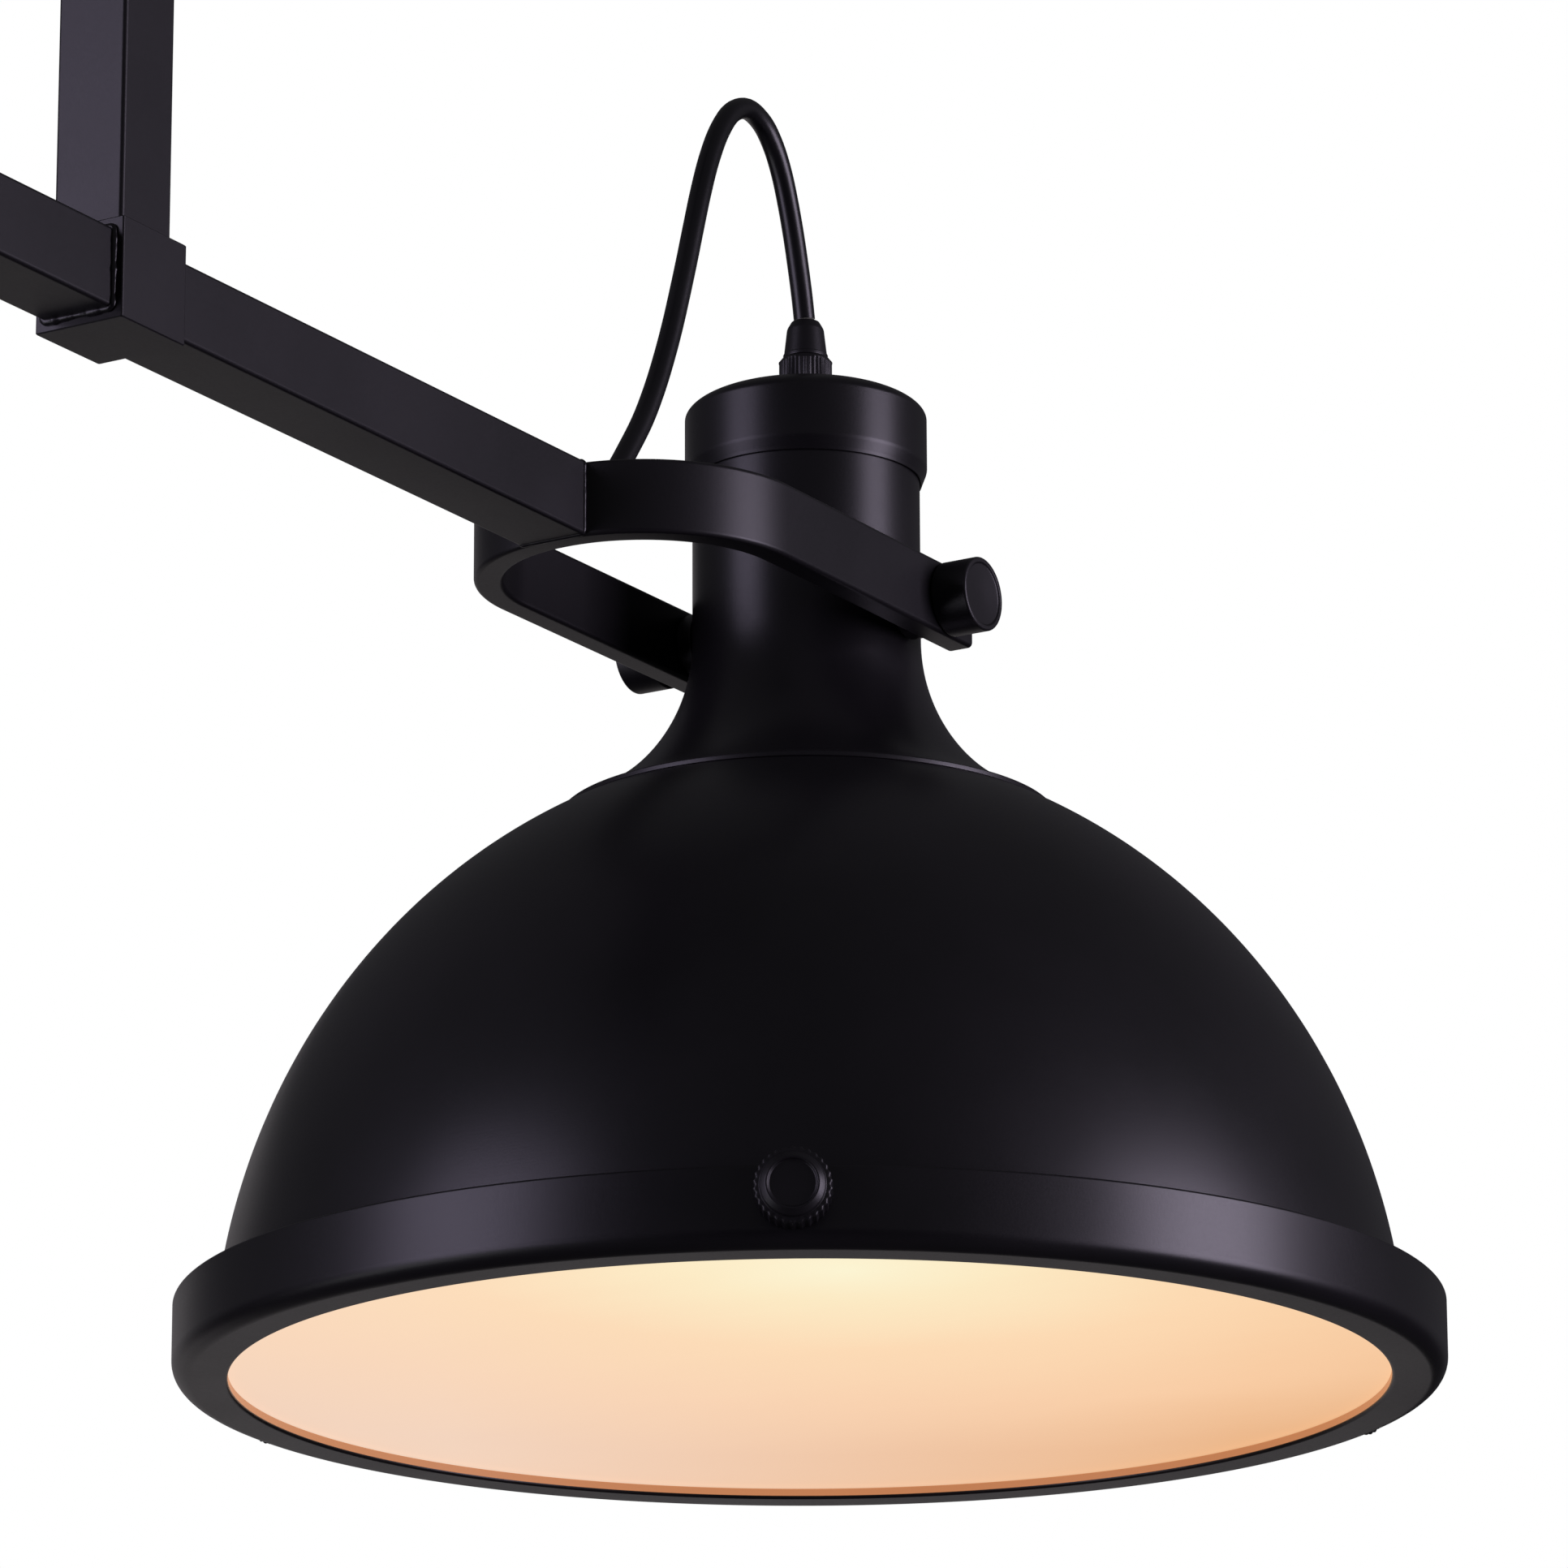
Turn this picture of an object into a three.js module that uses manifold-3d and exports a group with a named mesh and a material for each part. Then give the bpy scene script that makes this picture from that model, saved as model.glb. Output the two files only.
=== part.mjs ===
// Two-light pendant lamp for a pool table: one upright from the ceiling, a crossbar, and a tilting
// dome head in a yoke at each end of the bar. Millimetres, +Z up. The origin is the centre of the
// ceiling plate's top face. Heights inside a head are measured from its tilt axis.
import * as THREE from 'three';
import { mergeVertices } from 'three/addons/utils/BufferGeometryUtils.js';
import Module from 'manifold-3d';

const wasm = await Module();
wasm.setup();

// Driving dimensions
const GAP = 0.3; // kept between pieces that touch
const TUBE = 20.5; // side of the square tube, with its paint
const TUBE_WALL = 1.5;
const BAR_DROP = 600; // ceiling to the middle of the crossbar
const HEAD_X = 325; // upright to each lamp's axis

const PLATE_R = 50;
const PLATE_THICK = 4;
const PLATE_LEAD_HOLE_R = 8;
const PLATE_SCREW_Y = 35;
const PLATE_SCREW_R = 2.75;

const CANOPY_R = 65;
const CANOPY_DEPTH = 28;
const CANOPY_WALL = 1.5;
const CANOPY_CORNER = 7;
const CANOPY_RIM_GAP = 0.5; // rim to ceiling
const COLLAR_R = 19;
const COLLAR_HEIGHT = 12;
const SET_SCREW_R = 2.5;

const SLEEVE = 26; // square sleeve that joins upright and bars
const SLEEVE_TOP = 13;
const SLEEVE_BOTTOM = -13;
const SLEEVE_FLOOR = 2;
const LEAD_HOLE_R = 8;

const YOKE_BACK = 196; // upright to the yoke's back face
const YOKE_TIP = HEAD_X + 13.5;
const YOKE_HALF = 45.5;
const YOKE_THICK = 8;
const YOKE_CORNER = 45; // the back is nearly a half circle
const GROMMET_HOLE_R = 5.4;
const GROMMET_SEAT = YOKE_BACK + YOKE_THICK + 1;
const GROMMET_FLANGE_R = 7;
const GROMMET_FLANGE = 2.4; // how far the flange stands up

const STUD_R = 2.9; // pivot studs
const STUD_HOLE_R = 3.4;
const SPACER_R = 9;
const KNOB_R = 10.3;
const KNOB_FACE = 56.7; // lamp axis to the knob's outer face
const KNOB_RIM = 2.4;
const KNOB_DISH = 0.5;

const LEAD_R = 3; // cord and inner leads
const LEAD_BORE_R = 3.4;
const LEAD_FROM_MIDDLE = 4; // the two leads stand side by side in the upright
const LEAD_BEND_R = 12;
const CORD_START = GROMMET_SEAT + GROMMET_FLANGE + 0.4; // just off the grommet's face

// The free loop of cord from the grommet up and over to the gland: [x, z] in the yoke's mid plane.
const CORD_ROUTE = [
  [CORD_START, 0],
  [211.6, 1],
  [215.8, 4.2],
  [220.5, 9.2],
  [226.5, 16.6],
  [232.6, 24.6],
  [240.3, 35.5],
  [246.4, 46.4],
  [251.4, 57.2],
  [255.6, 67.6],
  [259.3, 78],
  [262.8, 88.4],
  [266.2, 99],
  [269.9, 110.2],
  [274.2, 121.2],
  [279.6, 131.3],
  [286.2, 139],
  [294.2, 142.6],
  [302.2, 141],
  [308.2, 136],
  [312.6, 129.2],
  [316, 121.2],
  [319, 112.3],
  [321.4, 103.6],
  [323.2, 96.2],
  [324.5, 89.6],
];

const NECK_R = 31.6;
const NECK_WALL = 1.5;
const NECK_TOP = 55; // hidden inside the cap
const FLARE_TOP = -4.8; // where the neck starts to flare
const FLARE_RADIAL = 56.3; // half axes of the flare's elliptical arc
const FLARE_AXIAL = 54.4;
const FLANGE_R = 68.5;

const CAP_R = 33.7;
const CAP_WALL = 1.5;
const CAP_TOP = 67.3;
const CAP_BOTTOM = 41;
const CAP_STEP = 4; // height of the sloped foot
const CAP_FLAT_R = 5.5;
const CAP_SHOULDER = 7.8;

const GLAND_FOOT = CAP_TOP + GAP;
const GLAND_SEAT = 77.6;
const GLAND_TIP = 88.8;
const GLAND_BASE_R = 7.4;
const GLAND_TAIL = 6; // length of the base's tail below its foot
const GLAND_NUT = [
  [6.3, GLAND_SEAT + GAP],
  [6.2, GLAND_SEAT + 1.6],
  [5.15, GLAND_SEAT + 8.6],
  [3.7, GLAND_TIP],
];

const BRIDGE_Y = 29; // bridge inside the neck: from the middle to each ear's outer face
const BRIDGE_WIDTH = 12;
const BRIDGE_THICK = 2;
const BRIDGE_TOP = 9;
const BRIDGE_FLOOR = -10;
const NIPPLE_R = 5;
const NIPPLE_BORE_R = 3.7;
const NIPPLE_TOP = -6;
const NIPPLE_BOTTOM = -24;
const HEAD_LEAD_BOTTOM = -21.5;

const SHADE_TOP = -57.6; // the flat that the flange sits on
const SHADE_WALL = 1.8;
const SHADE_A = 160.8; // half axes of the dome's elliptical outline
const SHADE_B = 172.4;
const SHADE_CENTRE = -213.2;
const SHADE_RIM = -194.6;
const SKIRT_R = 166;
const SKIRT_BOTTOM = -205.8;
const SHADE_HOLE_R = 20.8;

const HOLDER_TOP = -20;
const HOLDER_FLOOR = -36; // roof of the cup that the bulb screws into
const HOLDER_BOTTOM = -72;
const HOLDER_BORE_R = NIPPLE_R + 0.4;
const HOLDER_R = 17;
const HOLDER_THREAD_R = 19.5; // passes the shade's hole
const HOLDER_CUP_R = 14.2;
const HOLDER_FLANGE_R = 24;
const HOLDER_FLANGE = 3;
const SHADE_NUT_R = 27;
const SHADE_NUT_BORE_R = 20;
const SHADE_NUT_THICK = 3;
const BULB_CAP = [
  [0, -37.5],
  [4, -37.5],
  [13.2, -42],
  [13.2, -64],
];
const BULB_GLOBE = [
  [12.9, -64.3],
  [12.9, -73],
  [19, -85],
  [27, -99],
  [30, -115],
  [26, -132],
  [14, -143],
  [0, -146],
];

const RING_R = 171.4;
const RING_INNER_R = 169.1;
const RING_OPENING_R = 156.3;
const RING_TOP = -193.6;
const RING_BOTTOM = -214.4;
const RING_LIP = 3;
const RING_CORNER = 5;
const GLASS_THICK = 3.5;
const GLASS_LOW = RING_BOTTOM + RING_LIP + GAP;
const GLASS_HIGH = GLASS_LOW + GLASS_THICK;
const GLASS_R = RING_INNER_R - 0.7;
const GASKET_R = RING_INNER_R - 1.1;
const GASKET_INNER_R = RING_OPENING_R + 1.2;
const THUMB_Z = -200.5;
const THUMB_R = 10;
const THUMB_FACE = RING_R + 0.4; // the head's inner face, just off the ring
const THUMB_LENGTH = 10.2;
const THUMB_RIM = 3.2; // width of the raised rim round the head's sunk face
const THUMB_STUD_R = 2.2;
const THUMB_ANGLES = [210, 330, 90];

const FINE = 28; // facets round the shade and the ring
const MEDIUM = 20;
const SMALL = 14;
const TINY = 10;

// Materials
const paint = () => new THREE.MeshStandardMaterial({ color: 0x1c1a20, roughness: 0.42, metalness: 0.35 });
const steel = () => new THREE.MeshStandardMaterial({ color: 0xa8a8a6, roughness: 0.35, metalness: 0.9 });
const rubber = () => new THREE.MeshStandardMaterial({ color: 0x141416, roughness: 0.8, metalness: 0 });
const ceramic = () => new THREE.MeshStandardMaterial({ color: 0xe8e4da, roughness: 0.4, metalness: 0 });
const opal = () => new THREE.MeshStandardMaterial({ color: 0xf7dcb6, roughness: 0.55, metalness: 0 });

// Geometry helpers

// A closed body: shared vertices merged, flat triangles dropped, faces pointing out.
function closed(source) {
  const bare = source.index ? source.toNonIndexed() : source.clone();
  bare.deleteAttribute('normal');
  bare.deleteAttribute('uv');
  const merged = mergeVertices(bare, 1e-4);
  const index = Array.from(merged.index.array);
  const kept = [];
  for (let i = 0; i < index.length; i += 3) {
    const [a, b, c] = index.slice(i, i + 3);
    if (a !== b && b !== c && c !== a) kept.push(a, b, c);
  }
  merged.setIndex(kept);
  if (volume(merged) < 0) {
    for (let i = 0; i < kept.length; i += 3) [kept[i], kept[i + 1]] = [kept[i + 1], kept[i]];
    merged.setIndex(kept);
  }
  return merged;
}

function volume(geometry) {
  const p = geometry.attributes.position;
  const corner = (i) => new THREE.Vector3().fromBufferAttribute(p, geometry.index.getX(i));
  let sum = 0;
  for (let i = 0; i < geometry.index.count; i += 3) {
    sum += corner(i).dot(corner(i + 1).cross(corner(i + 2))) / 6;
  }
  return sum;
}

function toSolid(geometry) {
  const body = closed(geometry);
  const mesh = new wasm.Mesh({
    numProp: 3,
    vertProperties: new Float32Array(body.attributes.position.array),
    triVerts: new Uint32Array(body.index.array),
  });
  return new wasm.Manifold(mesh);
}

// Cuts every tool out of a body.
function cut(body, ...tools) {
  let solid = toSolid(body);
  for (const tool of tools) solid = solid.subtract(toSolid(tool));
  const mesh = solid.getMesh();
  const geometry = new THREE.BufferGeometry();
  geometry.setAttribute('position', new THREE.BufferAttribute(new Float32Array(mesh.vertProperties), 3));
  geometry.setIndex(Array.from(mesh.triVerts));
  return geometry;
}

// A body of revolution about Z from [radius, height] pairs. An outline that doesn't start and end
// on the axis closes on itself.
function turned(outline, facets) {
  const points = outline.map(([r, z]) => new THREE.Vector2(r, z));
  const onAxis = outline[0][0] === 0 && outline.at(-1)[0] === 0;
  if (!onAxis) points.push(points[0].clone());
  return closed(new THREE.LatheGeometry(points, facets).rotateX(Math.PI / 2));
}

// Points of an elliptical arc, from one angle to another, counted from +radius towards +height.
function arc(centreR, centreZ, halfR, halfZ, from, to, steps) {
  return Array.from({ length: steps + 1 }, (_, i) => {
    const angle = from + ((to - from) * i) / steps;
    return [centreR + halfR * Math.cos(angle), centreZ + halfZ * Math.sin(angle)];
  });
}

// A round bar along Z, used as a drill when it is turned to another axis.
function bar(radius, low, high, facets = TINY) {
  const length = high - low;
  const round = new THREE.CylinderGeometry(radius, radius, length, facets);
  return round.rotateX(Math.PI / 2).translate(0, 0, (low + high) / 2);
}
const alongX = (geometry) => geometry.rotateY(Math.PI / 2);
const alongY = (geometry) => geometry.rotateX(-Math.PI / 2);

function block(x, y, z, centreZ = 0) {
  return new THREE.BoxGeometry(x, y, z).translate(0, 0, centreZ);
}

// A square tube along Z from low to high.
function squareTube(side, bore, low, high) {
  const outer = block(side, side, high - low, (low + high) / 2);
  const inner = block(bore, bore, high - low + 2, (low + high) / 2);
  return cut(outer, inner);
}

// A path whose sections stand at its own corners, so that long straight runs take few of them.
class Route extends THREE.Curve {
  constructor(points) {
    super();
    this.points = points.map((p) => new THREE.Vector3(...p));
  }

  getPoint(t) {
    const at = t * (this.points.length - 1);
    const i = Math.min(Math.floor(at), this.points.length - 2);
    return this.points[i].clone().lerp(this.points[i + 1], at - i);
  }

  getPointAt(u) {
    return this.getPoint(u);
  }

  getTangentAt(u) {
    const i = Math.round(u * (this.points.length - 1));
    const before = this.points[Math.max(i - 1, 0)];
    const after = this.points[Math.min(i + 1, this.points.length - 1)];
    return after.clone().sub(before).normalize();
  }
}

function cable(points, radius, sides) {
  const section = new THREE.Shape();
  for (let i = 0; i < sides; i += 1) {
    const angle = (2 * Math.PI * i) / sides;
    const at = [radius * Math.cos(angle), radius * Math.sin(angle)];
    if (i === 0) section.moveTo(...at);
    else section.lineTo(...at);
  }
  const route = new Route(points);
  const options = { steps: points.length - 1, extrudePath: route, bevelEnabled: false };
  return closed(new THREE.ExtrudeGeometry(section, options));
}

function piece(name, geometry, material) {
  const mesh = new THREE.Mesh(geometry, material);
  mesh.name = name;
  return mesh;
}

// Ceiling plate, canopy and upright
function ceilingPlate() {
  const disc = bar(PLATE_R, -PLATE_THICK, 0, FINE);
  const leadHole = bar(PLATE_LEAD_HOLE_R, -PLATE_THICK - 1, 1, SMALL);
  const screwHoles = [-1, 1].map((s) => {
    return bar(PLATE_SCREW_R, -PLATE_THICK - 1, 1).translate(0, s * PLATE_SCREW_Y, 0);
  });
  return cut(disc, leadHole, ...screwHoles);
}

function canopy() {
  const cornerR = CANOPY_R - CANOPY_CORNER;
  const cornerZ = CANOPY_CORNER - CANOPY_DEPTH;
  const inner = CANOPY_CORNER - CANOPY_WALL;
  const quarter = Math.PI / 2;
  const shell = turned(
    [
      [0, -CANOPY_DEPTH],
      ...arc(cornerR, cornerZ, CANOPY_CORNER, CANOPY_CORNER, -quarter, 0, 4),
      [CANOPY_R, -CANOPY_RIM_GAP],
      [CANOPY_R - CANOPY_WALL, -CANOPY_RIM_GAP],
      ...arc(cornerR, cornerZ, inner, inner, 0, -quarter, 4),
      [0, CANOPY_WALL - CANOPY_DEPTH],
    ],
    FINE,
  );
  return cut(shell, block(TUBE + 2 * GAP, TUBE + 2 * GAP, 20, -CANOPY_DEPTH));
}

function canopyCollar() {
  const top = -CANOPY_DEPTH - GAP;
  const middle = top - COLLAR_HEIGHT / 2;
  const body = bar(COLLAR_R, top - COLLAR_HEIGHT, top, 24);
  const bore = block(TUBE + 2 * GAP, TUBE + 2 * GAP, 2 * COLLAR_HEIGHT, middle);
  const screwHole = alongY(bar(SET_SCREW_R + GAP, 0, COLLAR_R + 5)).translate(0, 0, middle);
  return cut(body, bore, screwHole);
}

function setScrew() {
  const tip = TUBE / 2 + 2 * GAP;
  const middle = -CANOPY_DEPTH - GAP - COLLAR_HEIGHT / 2;
  const outline = [
    [0, tip],
    [SET_SCREW_R, tip],
    [SET_SCREW_R, COLLAR_R + 0.5],
    [1.4, COLLAR_R + 0.5],
    [1.4, COLLAR_R - 2],
    [0, COLLAR_R - 2],
  ];
  return alongY(turned(outline, TINY)).translate(0, 0, middle);
}

function upright() {
  const low = -BAR_DROP + SLEEVE_BOTTOM + SLEEVE_FLOOR + GAP;
  const tube = squareTube(TUBE, TUBE - 2 * TUBE_WALL, low, -PLATE_THICK - GAP);
  return cut(tube, alongX(bar(LEAD_HOLE_R, -TUBE, TUBE, SMALL)).translate(0, 0, -BAR_DROP));
}

function sleeve() {
  const height = SLEEVE_TOP - SLEEVE_BOTTOM;
  const body = block(SLEEVE, SLEEVE, height, (SLEEVE_TOP + SLEEVE_BOTTOM) / 2);
  const bore = block(TUBE + 2 * GAP, TUBE + 2 * GAP, height, SLEEVE_FLOOR + (SLEEVE_TOP + SLEEVE_BOTTOM) / 2);
  const leadHole = alongX(bar(LEAD_HOLE_R, -SLEEVE, SLEEVE, SMALL));
  return cut(body, bore, leadHole).translate(0, 0, -BAR_DROP);
}

// One arm of the crossbar, its yoke and its cable, in the frame of the crossbar's middle. The bar's
// end is cut to the curve of the yoke's back.
function armBar() {
  const long = squareTube(TUBE, TUBE - 2 * TUBE_WALL, SLEEVE / 2 + GAP, YOKE_BACK + 2);
  const curve = bar(YOKE_CORNER + 2 * GAP, -TUBE, TUBE, 96).translate(YOKE_BACK + YOKE_CORNER, 0, 0);
  return cut(alongX(long), curve);
}

function yoke() {
  const inner = YOKE_HALF - YOKE_THICK;
  const bend = YOKE_BACK + YOKE_CORNER;
  const flat = YOKE_HALF - YOKE_CORNER;
  const innerBend = YOKE_CORNER - YOKE_THICK;
  const outline = new THREE.Shape();
  outline.moveTo(YOKE_TIP, YOKE_HALF);
  outline.absarc(bend, flat, YOKE_CORNER, Math.PI / 2, Math.PI, false);
  outline.absarc(bend, -flat, YOKE_CORNER, Math.PI, 1.5 * Math.PI, false);
  outline.lineTo(YOKE_TIP, -YOKE_HALF);
  outline.lineTo(YOKE_TIP, -inner);
  outline.absarc(bend, -flat, innerBend, 1.5 * Math.PI, Math.PI, true);
  outline.absarc(bend, flat, innerBend, Math.PI, Math.PI / 2, true);
  outline.lineTo(YOKE_TIP, inner);
  outline.closePath();
  const options = { depth: TUBE, bevelEnabled: false, curveSegments: 7 };
  const strap = new THREE.ExtrudeGeometry(outline, options).translate(0, 0, -TUBE / 2);
  const pivotHoles = alongY(bar(STUD_HOLE_R, -2 * YOKE_HALF, 2 * YOKE_HALF)).translate(HEAD_X, 0, 0);
  const leadHole = alongX(bar(GROMMET_HOLE_R, YOKE_BACK - 5, YOKE_BACK + 2 * YOKE_THICK));
  return cut(strap, pivotHoles, leadHole);
}

function grommet() {
  const neckR = GROMMET_HOLE_R - GAP;
  const top = GROMMET_SEAT + GROMMET_FLANGE;
  const outline = [
    [LEAD_BORE_R, YOKE_BACK + GAP],
    [neckR, YOKE_BACK + GAP],
    [neckR, GROMMET_SEAT],
    [GROMMET_FLANGE_R, GROMMET_SEAT],
    [GROMMET_FLANGE_R, top - 1],
    [GROMMET_FLANGE_R - 1, top],
    [LEAD_BORE_R, top],
  ];
  return alongX(turned(outline, SMALL));
}

function barLead() {
  const bendX = LEAD_FROM_MIDDLE + LEAD_BEND_R;
  const bend = arc(bendX, LEAD_BEND_R, LEAD_BEND_R, LEAD_BEND_R, -Math.PI / 2, -Math.PI, 4);
  const points = [[CORD_START - 4 * GAP, 0], ...bend, [LEAD_FROM_MIDDLE, BAR_DROP - 2]];
  return cable(points.map(([x, z]) => [x, 0, z]), LEAD_R, 6);
}

function cord() {
  return cable(CORD_ROUTE.map(([x, z]) => [x, 0, z]), LEAD_R, 8);
}

// Lamp head, in the frame of its tilt axis

function neckCap() {
  const shoulderZ = CAP_TOP - CAP_SHOULDER;
  const halfR = CAP_R - CAP_FLAT_R;
  const quarter = Math.PI / 2;
  const shell = turned(
    [
      [CAP_R - CAP_WALL, CAP_BOTTOM],
      [CAP_R - 0.8 * CAP_WALL, CAP_BOTTOM],
      [CAP_R, CAP_BOTTOM + CAP_STEP],
      ...arc(CAP_FLAT_R, shoulderZ, halfR, CAP_SHOULDER, 0, quarter, 4),
      [LEAD_BORE_R + CAP_WALL, CAP_TOP],
      [LEAD_BORE_R + CAP_WALL, CAP_TOP - CAP_WALL],
      ...arc(CAP_FLAT_R, shoulderZ, halfR - CAP_WALL, CAP_SHOULDER - CAP_WALL, quarter, 0, 4),
    ],
    MEDIUM,
  );
  return shell;
}

function neckBell() {
  const sweep = Math.acos(1 - (FLANGE_R - NECK_R) / FLARE_RADIAL);
  const outside = arc(NECK_R + FLARE_RADIAL, FLARE_TOP, FLARE_RADIAL, FLARE_AXIAL, Math.PI, Math.PI + sweep, 5);
  const lip = SHADE_TOP + GAP;
  const inside = outside.slice(0, -1).map(([r, z]) => [r - NECK_WALL, z - 0.4 * NECK_WALL]);
  const shell = turned(
    [
      [NECK_R, NECK_TOP],
      ...outside,
      [FLANGE_R, lip],
      [FLANGE_R - 2.5, lip],
      ...inside.reverse(),
      [NECK_R - NECK_WALL, NECK_TOP],
    ],
    MEDIUM,
  );
  return cut(shell, alongY(bar(STUD_HOLE_R, -2 * NECK_R, 2 * NECK_R)));
}

function glandBase() {
  const tailR = LEAD_BORE_R + 4 * GAP;
  const outline = [
    [LEAD_BORE_R, GLAND_FOOT - GLAND_TAIL],
    [tailR, GLAND_FOOT - GLAND_TAIL],
    [tailR, GLAND_FOOT],
    [GLAND_BASE_R, GLAND_FOOT],
    [GLAND_BASE_R, GLAND_SEAT],
    [LEAD_BORE_R, GLAND_SEAT],
  ];
  return turned(outline, SMALL);
}

function glandNut() {
  const outline = [[LEAD_BORE_R, GLAND_SEAT + GAP], ...GLAND_NUT, [LEAD_BORE_R, GLAND_TIP]];
  return turned(outline, SMALL);
}

function bridge() {
  const outline = new THREE.Shape([
    new THREE.Vector2(-BRIDGE_Y, BRIDGE_TOP),
    new THREE.Vector2(-BRIDGE_Y, BRIDGE_FLOOR),
    new THREE.Vector2(BRIDGE_Y, BRIDGE_FLOOR),
    new THREE.Vector2(BRIDGE_Y, BRIDGE_TOP),
    new THREE.Vector2(BRIDGE_Y - BRIDGE_THICK, BRIDGE_TOP),
    new THREE.Vector2(BRIDGE_Y - BRIDGE_THICK, BRIDGE_FLOOR + BRIDGE_THICK),
    new THREE.Vector2(BRIDGE_THICK - BRIDGE_Y, BRIDGE_FLOOR + BRIDGE_THICK),
    new THREE.Vector2(BRIDGE_THICK - BRIDGE_Y, BRIDGE_TOP),
  ]);
  const strap = new THREE.ExtrudeGeometry(outline, { depth: BRIDGE_WIDTH, bevelEnabled: false });
  strap.translate(0, 0, -BRIDGE_WIDTH / 2).rotateX(Math.PI / 2).rotateZ(Math.PI / 2);
  const studHoles = alongY(bar(STUD_HOLE_R, -2 * BRIDGE_Y, 2 * BRIDGE_Y));
  return cut(strap, studHoles, bar(HOLDER_BORE_R, NIPPLE_BOTTOM, 0));
}

function nipple() {
  const outline = [
    [NIPPLE_BORE_R, NIPPLE_BOTTOM],
    [NIPPLE_R, NIPPLE_BOTTOM],
    [NIPPLE_R, NIPPLE_TOP],
    [NIPPLE_BORE_R, NIPPLE_TOP],
  ];
  return turned(outline, TINY);
}

const headLead = () => bar(LEAD_R, HEAD_LEAD_BOTTOM, GLAND_TIP, 6);

function lampholder() {
  const flangeTop = SHADE_TOP + GAP + HOLDER_FLANGE;
  const outline = [
    [HOLDER_BORE_R, HOLDER_TOP],
    [HOLDER_R - 2, HOLDER_TOP],
    [HOLDER_R, HOLDER_TOP - 2],
    [HOLDER_R, flangeTop],
    [HOLDER_FLANGE_R, flangeTop],
    [HOLDER_FLANGE_R, SHADE_TOP + GAP],
    [HOLDER_THREAD_R, SHADE_TOP + GAP],
    [HOLDER_THREAD_R, HOLDER_BOTTOM],
    [HOLDER_CUP_R, HOLDER_BOTTOM],
    [HOLDER_CUP_R, HOLDER_FLOOR],
    [HOLDER_BORE_R, HOLDER_FLOOR],
  ];
  return turned(outline, SMALL);
}

function shadeRing() {
  const top = SHADE_TOP - SHADE_WALL - GAP;
  const outline = [
    [SHADE_NUT_BORE_R, top],
    [SHADE_NUT_R, top],
    [SHADE_NUT_R, top - SHADE_NUT_THICK],
    [SHADE_NUT_BORE_R, top - SHADE_NUT_THICK],
  ];
  return turned(outline, SMALL);
}

const bulbCap = () => turned([...BULB_CAP, [0, BULB_CAP.at(-1)[1]]], TINY);
const bulbGlobe = () => turned([[0, BULB_GLOBE[0][1]], ...BULB_GLOBE], TINY);

// The dome: a flat top with a hole for the lampholder, an elliptical side, and a stepped rim whose
// skirt the ring's thumb screws press on.
function shade() {
  const domeArc = (inset, high, low, steps) => {
    const halfZ = SHADE_B - inset;
    const from = Math.asin((high - SHADE_CENTRE) / halfZ);
    const to = Math.asin((low - SHADE_CENTRE) / halfZ);
    return arc(0, SHADE_CENTRE, SHADE_A - inset, halfZ, from, to, steps);
  };
  const outside = domeArc(0, SHADE_TOP, SHADE_RIM, 6);
  const inside = domeArc(SHADE_WALL, SHADE_TOP - SHADE_WALL, SHADE_RIM - SHADE_WALL, 5);
  const outline = [
    [SHADE_HOLE_R, SHADE_TOP],
    ...outside,
    [SKIRT_R, SHADE_RIM],
    [SKIRT_R, SKIRT_BOTTOM],
    [SKIRT_R - SHADE_WALL, SKIRT_BOTTOM],
    [SKIRT_R - SHADE_WALL, SHADE_RIM - SHADE_WALL],
    ...inside.reverse(),
    [SHADE_HOLE_R, SHADE_TOP - SHADE_WALL],
  ];
  return turned(outline, FINE);
}

// The ring: a wall, a rounded lower corner and an inward lip that the glass rests on.
function trimRing() {
  const cornerR = RING_R - RING_CORNER;
  const cornerZ = RING_BOTTOM + RING_CORNER;
  const channel = turned(
    [
      [RING_INNER_R, RING_TOP],
      [RING_R, RING_TOP],
      ...arc(cornerR, cornerZ, RING_CORNER, RING_CORNER, 0, -Math.PI / 2, 3),
      [RING_OPENING_R, RING_BOTTOM],
      [RING_OPENING_R, RING_BOTTOM + RING_LIP],
      [RING_INNER_R, RING_BOTTOM + RING_LIP],
    ],
    FINE,
  );
  const drills = THUMB_ANGLES.map((angle) => {
    const drill = alongX(bar(THUMB_STUD_R + 0.4, RING_R - 10, RING_R + 5));
    return drill.rotateZ(THREE.MathUtils.degToRad(angle)).translate(0, 0, THUMB_Z);
  });
  return cut(channel, ...drills);
}

function diffuser() {
  const outline = [
    [0, GLASS_LOW],
    [GLASS_R, GLASS_LOW],
    [GLASS_R, GLASS_HIGH],
    [0, GLASS_HIGH],
  ];
  return turned(outline, FINE);
}

function gasket() {
  const outline = [
    [GASKET_INNER_R, GLASS_HIGH + GAP],
    [GASKET_R, GLASS_HIGH + GAP],
    [GASKET_R, SKIRT_BOTTOM - GAP],
    [GASKET_INNER_R, SKIRT_BOTTOM - GAP],
  ];
  return turned(outline, FINE);
}

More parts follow.
